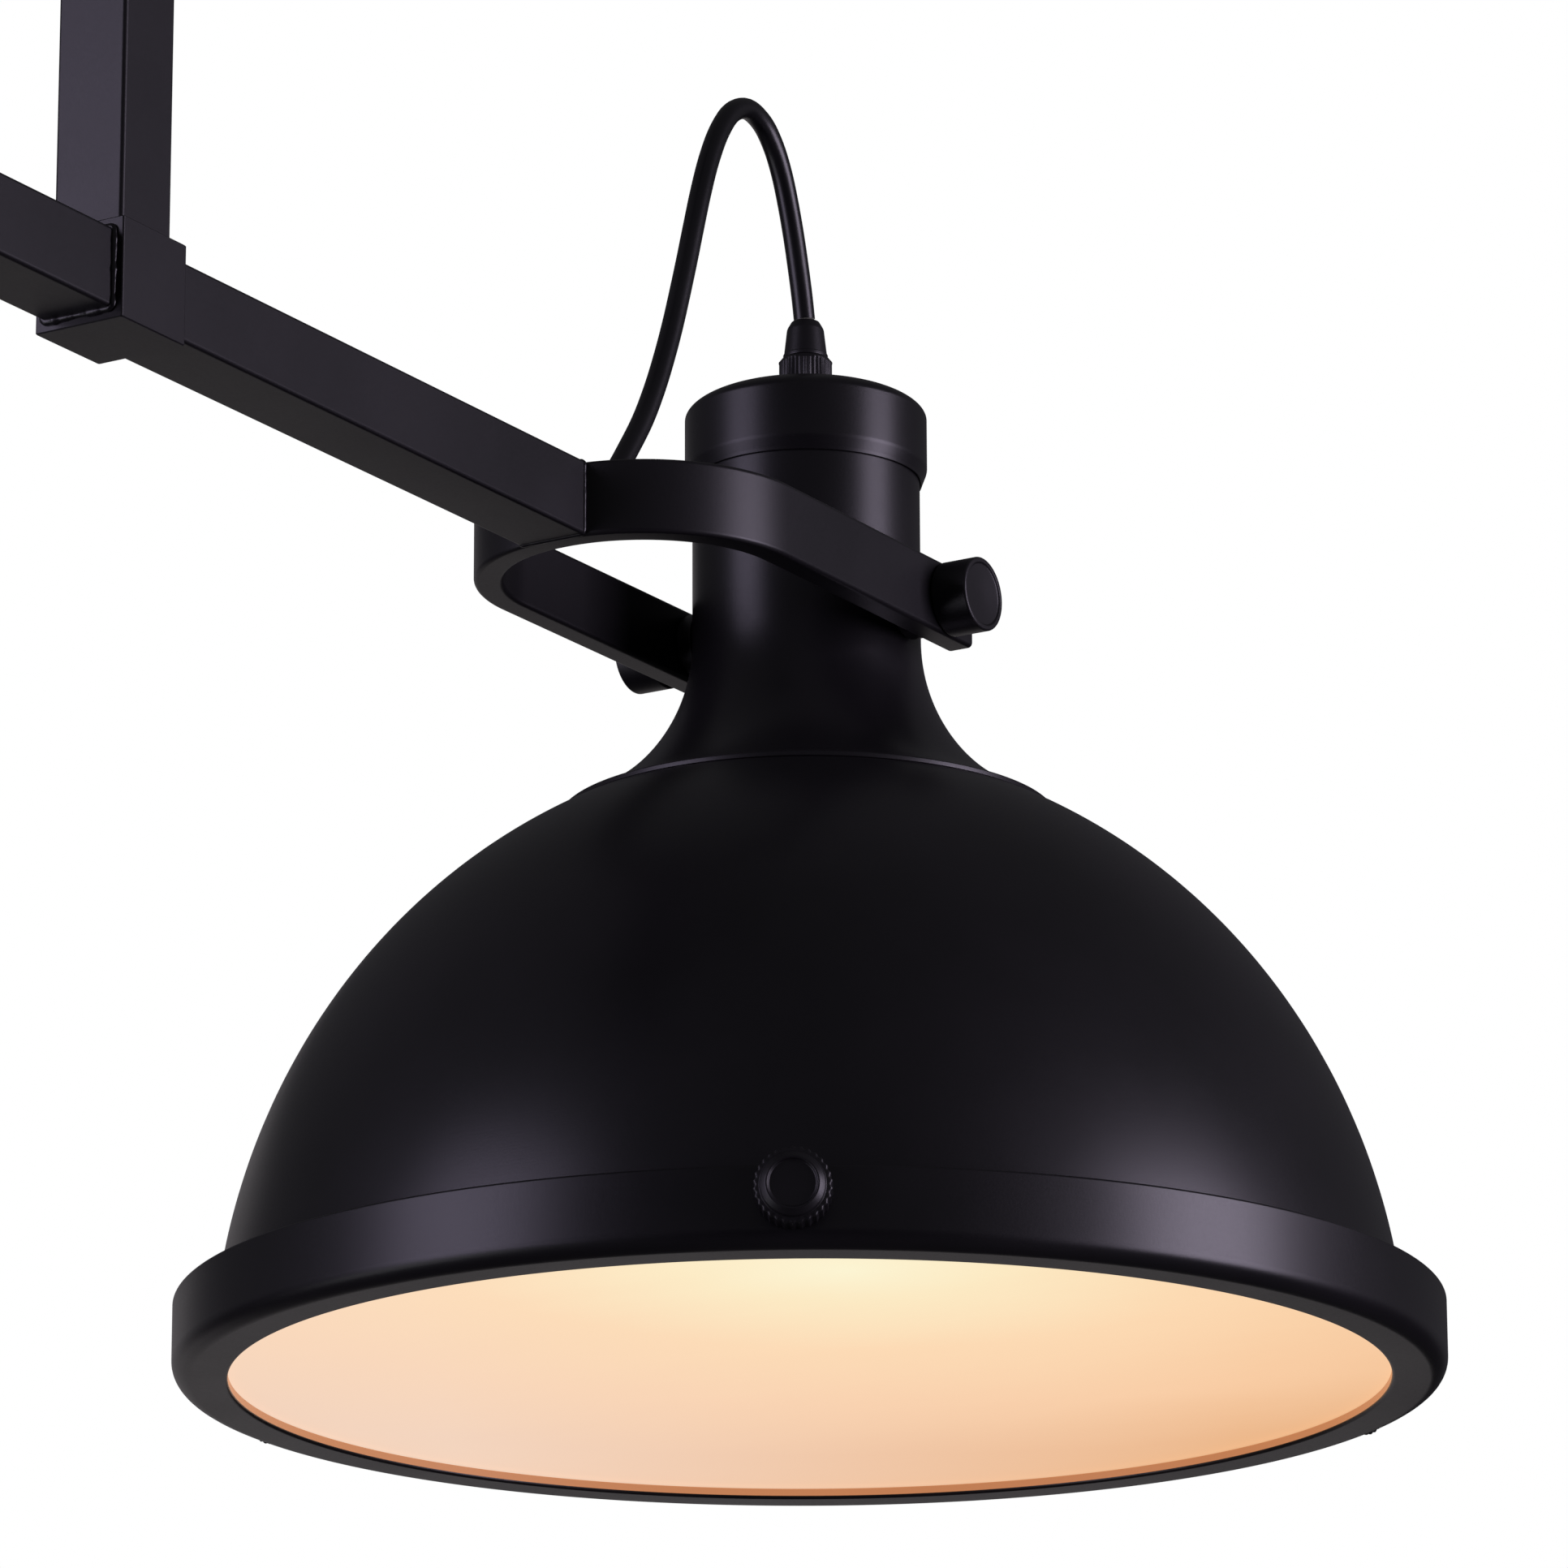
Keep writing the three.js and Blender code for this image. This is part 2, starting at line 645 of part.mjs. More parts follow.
// A thumb screw along +X, standing on the ring's wall.
function thumbScrew() {
  const tip = SKIRT_R + 0.5;
  const end = THUMB_FACE + THUMB_LENGTH;
  const outline = [
    [0, tip],
    [THUMB_STUD_R, tip],
    [THUMB_STUD_R, THUMB_FACE],
    [THUMB_R, THUMB_FACE],
    [THUMB_R, end - 1],
    [THUMB_R - 1, end],
    [THUMB_R - THUMB_RIM + 0.6, end],
    [THUMB_R - THUMB_RIM, end - 0.8],
    [0, end - 0.8],
  ];
  return alongX(turned(outline, TINY));
}

// A pivot knob along +Y: its stud runs through the yoke, spacer and neck into the bridge's ear.
function pivotKnob() {
  const tip = BRIDGE_Y - BRIDGE_THICK;
  const outline = [
    [0, tip],
    [STUD_R, tip],
    [STUD_R, YOKE_HALF + GAP],
    [KNOB_R, YOKE_HALF + GAP],
    [KNOB_R, KNOB_FACE - 1],
    [KNOB_R - 1, KNOB_FACE],
    [KNOB_R - KNOB_RIM, KNOB_FACE],
    [KNOB_R - KNOB_RIM - KNOB_DISH, KNOB_FACE - KNOB_DISH],
    [0, KNOB_FACE - KNOB_DISH],
  ];
  return alongY(turned(outline, SMALL));
}

function spacer() {
  const outline = [
    [STUD_HOLE_R, NECK_R + 3 * GAP],
    [SPACER_R, NECK_R + 3 * GAP],
    [SPACER_R, YOKE_HALF - YOKE_THICK - GAP],
    [STUD_HOLE_R, YOKE_HALF - YOKE_THICK - GAP],
  ];
  return alongY(turned(outline, TINY));
}

// The turned left side has its knobs swapped, so that front is always the -Y side.
function head(side, knobEnds) {
  const lamp = new THREE.Group();
  lamp.add(piece(`${side}_neck_cap`, neckCap(), paint()));
  lamp.add(piece(`${side}_neck_bell`, neckBell(), paint()));
  lamp.add(piece(`${side}_gland_base`, glandBase(), paint()));
  lamp.add(piece(`${side}_gland_nut`, glandNut(), paint()));
  lamp.add(piece(`${side}_bridge`, bridge(), steel()));
  lamp.add(piece(`${side}_nipple`, nipple(), steel()));
  lamp.add(piece(`${side}_head_lead`, headLead(), rubber()));
  lamp.add(piece(`${side}_lampholder`, lampholder(), ceramic()));
  lamp.add(piece(`${side}_shade_nut`, shadeRing(), steel()));
  lamp.add(piece(`${side}_bulb_cap`, bulbCap(), steel()));
  lamp.add(piece(`${side}_bulb_globe`, bulbGlobe(), opal()));
  lamp.add(piece(`${side}_shade`, shade(), paint()));
  lamp.add(piece(`${side}_trim_ring`, trimRing(), paint()));
  lamp.add(piece(`${side}_diffuser`, diffuser(), opal()));
  lamp.add(piece(`${side}_gasket`, gasket(), rubber()));
  THUMB_ANGLES.forEach((angle, i) => {
    const screw = piece(`${side}_thumb_screw_${i + 1}`, thumbScrew(), paint());
    screw.rotation.z = THREE.MathUtils.degToRad(angle);
    screw.position.z = THUMB_Z;
    lamp.add(screw);
  });
  knobEnds.forEach((end, i) => {
    const knob = piece(`${side}_${end}_knob`, pivotKnob(), paint());
    const washer = piece(`${side}_${end}_spacer`, spacer(), paint());
    knob.rotation.z = i * Math.PI;
    washer.rotation.z = i * Math.PI;
    lamp.add(knob, washer);
  });
  lamp.position.x = HEAD_X;
  return lamp;
}

// Each side of the crossbar is the same set, turned half a turn about the upright.
function crossbarSide(side, turn, knobEnds) {
  const half = new THREE.Group();
  half.add(piece(`${side}_bar`, armBar(), paint()));
  half.add(piece(`${side}_yoke`, yoke(), paint()));
  half.add(piece(`${side}_grommet`, grommet(), rubber()));
  half.add(piece(`${side}_bar_lead`, barLead(), rubber()));
  half.add(piece(`${side}_cord`, cord(), rubber()));
  half.add(head(side, knobEnds));
  half.rotation.z = turn;
  half.position.z = -BAR_DROP;
  return half;
}

const group = new THREE.Group();
group.add(piece('ceiling_plate', ceilingPlate(), steel()));
group.add(piece('canopy', canopy(), paint()));
group.add(piece('canopy_collar', canopyCollar(), paint()));
group.add(piece('collar_set_screw', setScrew(), steel()));
group.add(piece('upright', upright(), paint()));
group.add(piece('crossbar_sleeve', sleeve(), paint()));
group.add(crossbarSide('right', 0, ['back', 'front']));
group.add(crossbarSide('left', Math.PI, ['front', 'back']));

export default group;
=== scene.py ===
import math

import bmesh
import bpy
import numpy as np
from mathutils import Matrix, Vector


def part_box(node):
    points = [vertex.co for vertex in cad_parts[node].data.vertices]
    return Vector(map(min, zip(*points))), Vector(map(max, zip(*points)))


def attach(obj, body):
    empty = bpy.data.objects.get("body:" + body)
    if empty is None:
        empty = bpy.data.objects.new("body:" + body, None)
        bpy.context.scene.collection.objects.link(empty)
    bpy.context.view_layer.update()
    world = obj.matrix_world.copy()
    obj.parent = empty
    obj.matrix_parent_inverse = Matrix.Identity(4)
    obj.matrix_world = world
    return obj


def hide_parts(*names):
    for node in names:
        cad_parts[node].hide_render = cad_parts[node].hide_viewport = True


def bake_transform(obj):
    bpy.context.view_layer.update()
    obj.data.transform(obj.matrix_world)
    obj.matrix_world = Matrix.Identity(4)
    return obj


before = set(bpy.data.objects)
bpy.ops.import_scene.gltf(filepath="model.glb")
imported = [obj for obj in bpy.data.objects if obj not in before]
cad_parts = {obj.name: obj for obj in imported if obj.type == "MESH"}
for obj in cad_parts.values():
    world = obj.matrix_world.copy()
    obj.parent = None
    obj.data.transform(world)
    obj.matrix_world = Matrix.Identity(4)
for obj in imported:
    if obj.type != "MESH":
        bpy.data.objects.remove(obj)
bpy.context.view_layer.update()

# Shapes are written in millimetres and made in metres. A head's shapes are about its tilt axis,
# all others about the crossbar's middle.
MM = 0.001
GAP = 0.3  # between pieces that touch
SHARP = 35.0  # degrees; an edge that turns more than this stays sharp
QUARTER = math.pi / 2
SIDES = {"right": 1, "left": -1}

# Where things are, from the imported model
knob_low, knob_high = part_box("right_front_knob")
bar_low, bar_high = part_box("right_bar")
BAR_Z = (bar_low.z + bar_high.z) / 2
HEAD_X = (knob_low.x + knob_high.x) / 2
PIVOT = {side: Vector((k * HEAD_X, 0, BAR_Z)) for side, k in SIDES.items()}
TURN = {"right": Matrix.Identity(4), "left": Matrix.Rotation(math.pi, 4, "Z")}

# The camera: a long lens, lower than the right head and far out on the left, looking up at it
CAMERA_AT = Vector((-1.47615, -1.09418, BAR_Z - 0.65497))
CAMERA_YAW = math.radians(58.548)
CAMERA_PITCH = math.radians(16.133)
CAMERA_ROLL = math.radians(-0.187)
CAMERA_LENS = 183.2
SENSOR = 36.0
FAR_CLIP = 100

ahead_flat = Vector((math.sin(CAMERA_YAW), math.cos(CAMERA_YAW), 0))
right_hand = Vector((math.cos(CAMERA_YAW), -math.sin(CAMERA_YAW), 0))


def add_camera():
    """The scene's camera, level but for a small roll."""
    ahead = ahead_flat * math.cos(CAMERA_PITCH) + Vector((0, 0, math.sin(CAMERA_PITCH)))
    upward = right_hand.cross(ahead)
    c, s = math.cos(CAMERA_ROLL), math.sin(CAMERA_ROLL)
    across = right_hand * c + upward * s
    upward = upward * c - right_hand * s
    data = bpy.data.cameras.new("photo_camera")
    data.lens = CAMERA_LENS
    data.sensor_width = SENSOR
    data.clip_end = FAR_CLIP
    camera = bpy.data.objects.new("photo_camera", data)
    turn = Matrix((across, upward, -ahead)).transposed().to_4x4()
    camera.matrix_world = Matrix.Translation(CAMERA_AT) @ turn
    bpy.context.scene.collection.objects.link(camera)
    bpy.context.scene.camera = camera


add_camera()

# ---------------------------------------------------------------- mesh helpers


def mesh_object(name, verts, faces, sharp=SHARP):
    """A smooth shaded mesh from points in millimetres."""
    mesh = bpy.data.meshes.new(name)
    mesh.from_pydata([tuple(c * MM for c in v) for v in verts], [], faces)
    tidy = bmesh.new()
    tidy.from_mesh(mesh)
    bmesh.ops.remove_doubles(tidy, verts=tidy.verts, dist=1e-7)
    bmesh.ops.dissolve_degenerate(tidy, edges=tidy.edges, dist=1e-8)
    bmesh.ops.recalc_face_normals(tidy, faces=tidy.faces)
    tidy.to_mesh(mesh)
    tidy.free()
    obj = bpy.data.objects.new(name, mesh)
    bpy.context.scene.collection.objects.link(obj)
    smooth(obj, sharp)
    return obj


def smooth(obj, sharp=SHARP):
    """Smooth shading that keeps sharp edges and leaves flat faces flat."""
    obj.data.polygons.foreach_set("use_smooth", [True] * len(obj.data.polygons))
    obj.data.set_sharp_from_angle(angle=math.radians(sharp))
    if "normals" not in obj.modifiers:
        weigh = obj.modifiers.new("normals", "WEIGHTED_NORMAL")
        weigh.keep_sharp = True
        weigh.weight = 80


def rounded(corners, step=15.0):
    """An outline with its corners rounded: each corner is (r, z) or (r, z, radius)."""
    count = len(corners)
    points = []
    for i, corner in enumerate(corners):
        here = Vector(corner[:2])
        radius = corner[2] if len(corner) > 2 else 0
        if radius <= 0:
            points.append(tuple(here))
            continue
        before = Vector(corners[i - 1][:2]) - here
        after = Vector(corners[(i + 1) % count][:2]) - here
        room = min(before.length, after.length)
        before.normalize()
        after.normalize()
        half = before.angle(after) / 2
        reach = min(radius / math.tan(half), 0.49 * room)
        radius = reach * math.tan(half)
        centre = here + (before + after).normalized() * (radius / math.sin(half))
        first = here + before * reach - centre
        sweep = math.pi - 2 * half
        if first.cross(here + after * reach - centre) < 0:
            sweep = -sweep
        steps = max(2, math.ceil(abs(math.degrees(sweep)) / step))
        for j in range(steps + 1):
            a = sweep * j / steps
            c, s = math.cos(a), math.sin(a)
            points.append((centre.x + c * first.x - s * first.y,
                           centre.y + s * first.x + c * first.y))
    return points


def ellipse(centre_r, centre_z, half_r, half_z, start, end, steps):
    """Points of an ellipse's arc, from angle start to angle end."""
    out = []
    for i in range(steps + 1):
        a = start + (end - start) * i / steps
        out.append((centre_r + half_r * math.cos(a), centre_z + half_z * math.sin(a)))
    return out


def lathe(name, outline, count=96, shape=None):
    """Turns (r, z) pairs about Z. An outline that starts and ends on the axis is open, any other
    closes on itself. shape(r, z, angle) may change a point's radius."""
    open_ends = outline[0][0] == 0 and outline[-1][0] == 0
    verts, faces, rows = [], [], []
    for r, z in outline:
        if r == 0:
            rows.append([len(verts)] * count)
            verts.append((0, 0, z))
            continue
        rows.append(list(range(len(verts), len(verts) + count)))
        for j in range(count):
            a = 2 * math.pi * j / count
            radius = shape(r, z, a) if shape else r
            verts.append((radius * math.cos(a), radius * math.sin(a), z))
    pairs = list(zip(rows, rows[1:]))
    if not open_ends:
        pairs.append((rows[-1], rows[0]))
    for low, high in pairs:
        for j in range(count):
            k = (j + 1) % count
            quad = [low[j], low[k], high[k], high[j]]
            quad = [v for n, v in enumerate(quad) if v not in quad[:n]]
            if len(quad) > 2:
                faces.append(quad)
    return mesh_object(name, verts, faces)


def loft(name, rings, closed=False, sharp=SHARP):
    """Joins rings of equal count. An open loft gets flat ends, a closed one joins its last ring
    to its first."""
    count = len(rings[0])
    verts = [p for ring in rings for p in ring]
    faces = []
    pairs = [(i, i + 1) for i in range(len(rings) - 1)]
    if closed:
        pairs.append((len(rings) - 1, 0))
    for a, b in pairs:
        for j in range(count):
            k = (j + 1) % count
            faces.append([a * count + j, a * count + k, b * count + k, b * count + j])
    if not closed:
        faces.append(list(range(count)))
        faces.append(list(range((len(rings) - 1) * count, len(rings) * count)))
    return mesh_object(name, verts, faces, sharp)


def round_box(half_a, half_b, radius, steps=5):
    """The outline of a rectangle with round corners, as (a, b) pairs."""
    points = []
    for i, (sa, sb) in enumerate(((1, 1), (-1, 1), (-1, -1), (1, -1))):
        for j in range(steps + 1):
            t = math.radians(90 * i + 90 * j / steps)
            points.append((sa * (half_a - radius) + radius * math.cos(t),
                           sb * (half_b - radius) + radius * math.sin(t)))
    return points


def square_tube(name, half, radius, wall, low, high, floor=None, chamfer=0.35):
    """A square tube along Z. With a floor it is closed at the bottom by that thickness."""
    outer = [(z, round_box(half - inset, half - inset, radius)) for z, inset in (
        (low, chamfer), (low + chamfer, 0), (high - chamfer, 0), (high, chamfer))]
    inner_radius = max(radius - wall, 0.3)
    inside = low if floor is None else low + floor
    inner = [(z, round_box(half - wall, half - wall, inner_radius)) for z in (high, inside)]
    rings = [[(a, b, z) for a, b in section] for z, section in outer + inner]
    return loft(name, rings, closed=floor is None)


def sweep(name, path, section, end_radius, end_steps=5):
    """Sweeps an (across, up) section along a path in the XY plane, with rounded ends."""
    pts = [Vector((*p, 0)) for p in path]
    last = len(pts) - 1
    tangents = [(pts[min(i + 1, last)] - pts[max(i - 1, 0)]).normalized() for i in range(last + 1)]

    def shrunk(value, by):
        return math.copysign(max(abs(value) - by, 0), value)

    def ring(at, tangent, by=0):
        side = Vector((tangent.y, -tangent.x, 0))
        return [tuple(at + side * shrunk(a, by) + Vector((0, 0, shrunk(b, by))))
                for a, b in section]

    def end_ring(at, tangent, inward, i):
        t = QUARTER * i / end_steps
        return ring(at + tangent * (inward * end_radius * (1 - math.sin(t))), tangent,
                    end_radius * (1 - math.cos(t)))

    rings = [end_ring(pts[0], tangents[0], 1, i) for i in range(end_steps, -1, -1)]
    rings += [ring(pts[i], tangents[i]) for i in range(1, last)]
    rings += [end_ring(pts[last], tangents[last], -1, i) for i in range(end_steps + 1)]
    return loft(name, rings)


def tube(name, path, radius, sides=24, closed=False, radii=None):
    """A round tube along points in millimetres, with no twist."""
    pts = [Vector(p) for p in path]
    count = len(pts)
    rings = []
    normal = None
    for i, p in enumerate(pts):
        if closed:
            tangent = (pts[(i + 1) % count] - pts[i - 1]).normalized()
        else:
            tangent = (pts[min(i + 1, count - 1)] - pts[max(i - 1, 0)]).normalized()
        if normal is None:
            normal = tangent.orthogonal().normalized()
        normal = (normal - tangent * normal.dot(tangent)).normalized()
        other = tangent.cross(normal)
        r = radii[i] if radii else radius
        rings.append([tuple(p + normal * (r * math.cos(a)) + other * (r * math.sin(a)))
                      for a in (2 * math.pi * j / sides for j in range(sides))])
    return loft(name, rings, closed=closed, sharp=60)


def hexagon(corner_radius, angle):
    """The radius of a hexagon at an angle."""
    sixth = math.pi / 3
    return corner_radius * math.cos(sixth / 2) / math.cos(angle % sixth - sixth / 2)


def drill(target, radius, start, end, sides=48):
    """Cuts a round hole through target, between two points in its own millimetres."""
    cut_with(target, tube("cutter", [start, end], radius, sides))


def cut_with(target, cutter):
    """Takes the cutter's shape out of target, and removes the cutter."""
    cutter.modifiers.clear()
    cutter.matrix_world = target.matrix_world.copy()
    target.modifiers.clear()
    boolean = target.modifiers.new("cut", "BOOLEAN")
    boolean.operation = "DIFFERENCE"
    boolean.solver = "EXACT"
    boolean.object = cutter
    bpy.context.view_layer.update()
    depsgraph = bpy.context.evaluated_depsgraph_get()
    result = bpy.data.meshes.new_from_object(target.evaluated_get(depsgraph))
    target.modifiers.clear()
    old = target.data
    target.data = result
    result.name = old.name
    bpy.data.meshes.remove(old)
    bpy.data.objects.remove(cutter)
    smooth(target)


def spline(points, per_span):
    """A smooth curve through the points, with even steps in each span."""
    pts = [Vector(p) for p in points]
    pts = [2 * pts[0] - pts[1]] + pts + [2 * pts[-1] - pts[-2]]
    out = []
    for i in range(1, len(pts) - 2):
        a, b, c, d = pts[i - 1: i + 3]
        linear, square, cube = c - a, 2 * a - 5 * b + 4 * c - d, 3 * b - a - 3 * c + d
        for j in range(per_span):
            t = j / per_span
            out.append(0.5 * (2 * b + linear * t + square * t * t + cube * t ** 3))
    out.append(pts[-2])
    return out


# ---------------------------------------------------------------- materials


class Shader:
    """One node material with a Principled shader and object coordinates."""

    def __init__(self, name, **values):
        self.material = bpy.data.materials.new(name)
        self.material.use_nodes = True
        self.nodes = self.material.node_tree.nodes
        self.links = self.material.node_tree.links
        self.shader = self.nodes["Principled BSDF"]
        self.coordinates = self.nodes.new("ShaderNodeTexCoord").outputs["Object"]
        for key, value in values.items():
            self.shader.inputs[key.replace("_", " ")].default_value = value

    def mapped(self, scale):
        """Object coordinates, stretched."""
        node = self.nodes.new("ShaderNodeMapping")
        node.inputs["Scale"].default_value = scale
        self.links.new(self.coordinates, node.inputs["Vector"])
        return node.outputs["Vector"]

    def noise(self, scale, detail=3.0, roughness=0.5, vector=None):
        node = self.nodes.new("ShaderNodeTexNoise")
        node.inputs["Scale"].default_value = scale
        node.inputs["Detail"].default_value = detail
        node.inputs["Roughness"].default_value = roughness
        self.links.new(vector or self.coordinates, node.inputs["Vector"])
        return node.outputs["Fac"]

    def ramp(self, fac, low, high, start=0.3, end=0.7):
        """Maps start to end onto low to high, and holds the ends."""
        node = self.nodes.new("ShaderNodeMapRange")
        node.inputs["From Min"].default_value = start
        node.inputs["From Max"].default_value = end
        node.inputs["To Min"].default_value = low
        node.inputs["To Max"].default_value = high
        self.links.new(fac, node.inputs["Value"])
        return node.outputs["Result"]

    def colours(self, fac, *stops):
        """A colour by fac, from (position, colour) stops."""
        node = self.nodes.new("ShaderNodeValToRGB")
        elements = node.color_ramp.elements
        for i, (at, colour) in enumerate(stops):
            element = elements[i] if i < 2 else elements.new(at)
            element.position = at
            element.color = (*colour, 1)
        self.links.new(fac, node.inputs["Fac"])
        return node.outputs["Color"]

    def math(self, operation, a, b):
        node = self.nodes.new("ShaderNodeMath")
        node.operation = operation
        for socket, value in zip(node.inputs, (a, b)):
            if isinstance(value, (int, float)):
                socket.default_value = value
            else:
                self.links.new(value, socket)
        return node.outputs["Value"]

    def to(self, socket, output):
        self.links.new(output, self.shader.inputs[socket])
        return self

    def bump(self, *layers):
        """Adds bump layers, each (height, distance in metres)."""
        last = None
        for height, distance in layers:
            node = self.nodes.new("ShaderNodeBump")
            node.inputs["Strength"].default_value = 1.0
            node.inputs["Distance"].default_value = distance
            self.links.new(height, node.inputs["Height"])
            if last:
                self.links.new(last, node.inputs["Normal"])
            last = node.outputs["Normal"]
        return self.to("Normal", last)


def rings_about_axis(shader, across, around):
    """Coordinates stretched round Z, for the fine lines that turning leaves."""
    split = shader.nodes.new("ShaderNodeSeparateXYZ")
    shader.links.new(shader.coordinates, split.inputs[0])
    x, y, z = split.outputs
    square = shader.math("ADD", shader.math("MULTIPLY", x, x), shader.math("MULTIPLY", y, y))
    radius = shader.math("POWER", square, 0.5)
    angle = shader.math("ARCTAN2", y, x)
    join = shader.nodes.new("ShaderNodeCombineXYZ")
    stretched = ((angle, around), (z, across), (radius, across))
    for socket, (value, scale) in zip(join.inputs, stretched):
        shader.links.new(shader.math("MULTIPLY", value, scale), socket)
    return join.outputs[0]


BLACK = (0.0042, 0.0038, 0.0050)
BLACK_WORN = (0.0085, 0.0075, 0.0095)
PEEL_DEPTH = 0.000010  # of the paint's grain, in metres
LINE_DEPTH = 0.000005  # of the turning lines
FINE_DEPTH = 0.00002


def black_paint(name, roughness, grain, turned=False):
    """Satin black: cloudy tone and gloss, a fine grain, and turning lines on spun pieces."""
    s = Shader(name, Base_Color=(*BLACK, 1), IOR=1.5)
    cloud = s.noise(14.0, 4.0)
    fine = s.noise(grain, 2.0)
    s.to("Base Color", s.colours(cloud, (0.35, BLACK), (0.7, BLACK_WORN)))
    gloss = s.ramp(cloud, roughness - 0.02, roughness + 0.02)
    s.to("Roughness", s.math("ADD", gloss, s.ramp(fine, -0.015, 0.015)))
    layers = [(fine, PEEL_DEPTH)]
    if turned:
        lines = s.noise(1.0, 2.0, vector=rings_about_axis(s, across=2600.0, around=3.0))
        layers.append((lines, LINE_DEPTH))
    s.bump(*layers)
    return s.material


def plain(name, colour, roughness, grain, depth=FINE_DEPTH, **values):
    """One colour with cloudy tone and gloss, and a fine grain."""
    s = Shader(name, Base_Color=(*colour, 1), **values)
    cloud = s.noise(22.0, 4.0)
    fine = s.noise(grain, 3.0)
    darker = tuple(c * 0.82 for c in colour)
    s.to("Base Color", s.colours(cloud, (0.3, darker), (0.7, colour)))
    s.to("Roughness", s.ramp(cloud, roughness - 0.05, roughness + 0.05))
    s.bump((fine, depth))
    return s.material


PAINT = black_paint("black_powder_coat", 0.40, 1500.0)
SPUN = black_paint("black_spun_paint", 0.36, 1500.0, turned=True)
HARD = black_paint("black_turned_steel", 0.42, 1800.0)
WELD = black_paint("black_painted_weld", 0.30, 700.0)
ZINC = plain("zinc_plated_steel", (0.56, 0.56, 0.55), 0.36, 700.0, Metallic=1.0)
RUBBER = plain("black_rubber", (0.010, 0.010, 0.011), 0.62, 900.0, depth=0.00003)
JACKET = plain("cord_jacket", (0.006, 0.006, 0.007), 0.34, 600.0)
PHENOLIC = plain("black_phenolic", (0.012, 0.012, 0.012), 0.38, 500.0)
ENAMEL = plain("white_enamel", (0.78, 0.72, 0.62), 0.45, 800.0)  # the domes' inside


def opal():
    """The bulb's white glass, lit."""
    s = Shader("opal_bulb_glass", Base_Color=(0.9, 0.87, 0.8, 1), Roughness=0.25,
               Emission_Color=(1.0, 0.78, 0.5, 1), Emission_Strength=1.6)
    s.bump((s.noise(40.0), FINE_DEPTH))
    return s.material


# The glass's painted glow, by distance from its painted hot spot, which sits off the glass's
# middle. It is orange on one side, towards the direction that the last constant gives, and pale on
# the other, which stands for a painted reflection of cool light.
PAINTED_GLOW_PALE_SIDE = (
    (0.00, (1.00, 0.93, 0.66)),
    (0.16, (1.00, 0.86, 0.58)),
    (0.40, (1.00, 0.74, 0.50)),
    (0.70, (0.97, 0.70, 0.505)),
    (1.00, (0.92, 0.675, 0.52)),
)
PAINTED_GLOW_ORANGE_SIDE = (
    (0.00, (1.00, 0.93, 0.66)),
    (0.16, (1.00, 0.83, 0.54)),
    (0.40, (1.00, 0.70, 0.43)),
    (0.70, (0.96, 0.61, 0.36)),
    (1.00, (0.86, 0.49, 0.26)),
)
PAINTED_GLOW_REACH = 0.24
# where the painted hot spot sits, off the glass's middle
PAINTED_HOT_SPOT_AT = (-0.105, -0.075)
PAINTED_ORANGE_SIDE_TOWARDS = (0.52, -0.85, 0)


def painted_glow_glass():
    """The frosted glass with a painted glow: emitted colour that stands in for the bulb's light
    through it, with a painted hot spot off its middle, a painted reflection of cool light on its
    pale side, and faint wisps in its glow.
    """
    s = Shader("frosted_glass", Base_Color=(0.10, 0.09, 0.085, 1), Roughness=0.55,
               Emission_Strength=0.95)
    shift = s.nodes.new("ShaderNodeMapping")
    shift.inputs["Location"].default_value = (*(-at / PAINTED_GLOW_REACH for at in PAINTED_HOT_SPOT_AT), 0)
    shift.inputs["Scale"].default_value = (1 / PAINTED_GLOW_REACH, 1 / PAINTED_GLOW_REACH, 0)
    s.links.new(s.coordinates, shift.inputs["Vector"])
    length = s.nodes.new("ShaderNodeVectorMath")
    length.operation = "LENGTH"
    s.links.new(shift.outputs["Vector"], length.inputs[0])
    side = s.nodes.new("ShaderNodeVectorMath")
    side.operation = "DOT_PRODUCT"
    side.inputs[1].default_value = PAINTED_ORANGE_SIDE_TOWARDS
    s.links.new(s.coordinates, side.inputs[0])
    wisps = s.noise(9.0, 5.0, 0.6, vector=s.mapped((1.0, 0.35, 1.0)))
    fac = s.math("ADD", length.outputs["Value"], s.ramp(wisps, -0.03, 0.03))
    # painted reflection: the pale side stands for cool light reflected in the glass, the other side
    # is orange
    mix = s.nodes.new("ShaderNodeMix")
    mix.data_type = "RGBA"
    s.links.new(s.ramp(side.outputs["Value"], 0.0, 1.0, -0.10, 0.12), mix.inputs["Factor"])
    s.links.new(s.colours(fac, *PAINTED_GLOW_PALE_SIDE), mix.inputs["A"])
    s.links.new(s.colours(fac, *PAINTED_GLOW_ORANGE_SIDE), mix.inputs["B"])
    s.to("Emission Color", mix.outputs["Result"])
    s.to("Roughness", s.ramp(wisps, 0.48, 0.62))
    s.bump((s.noise(2500.0, 1.0), FINE_DEPTH))
    return s.material


def painted_glow_edge():
    """The lip's inner edge, with a painted glow: an orange colour and emission that stand in for
    the light that the glass above it throws on it.
    """
    s = Shader("ring_edge_painted_glow", Base_Color=(0.30, 0.14, 0.07, 1), Roughness=0.4,
               Emission_Color=(0.62, 0.25, 0.10, 1), Emission_Strength=0.55)
    s.bump((s.noise(1200.0), FINE_DEPTH))
    return s.material


OPAL, FROSTED_PAINTED_GLOW, PAINTED_GLOW_EDGE = opal(), painted_glow_glass(), painted_glow_edge()

# ---------------------------------------------------------------- placing


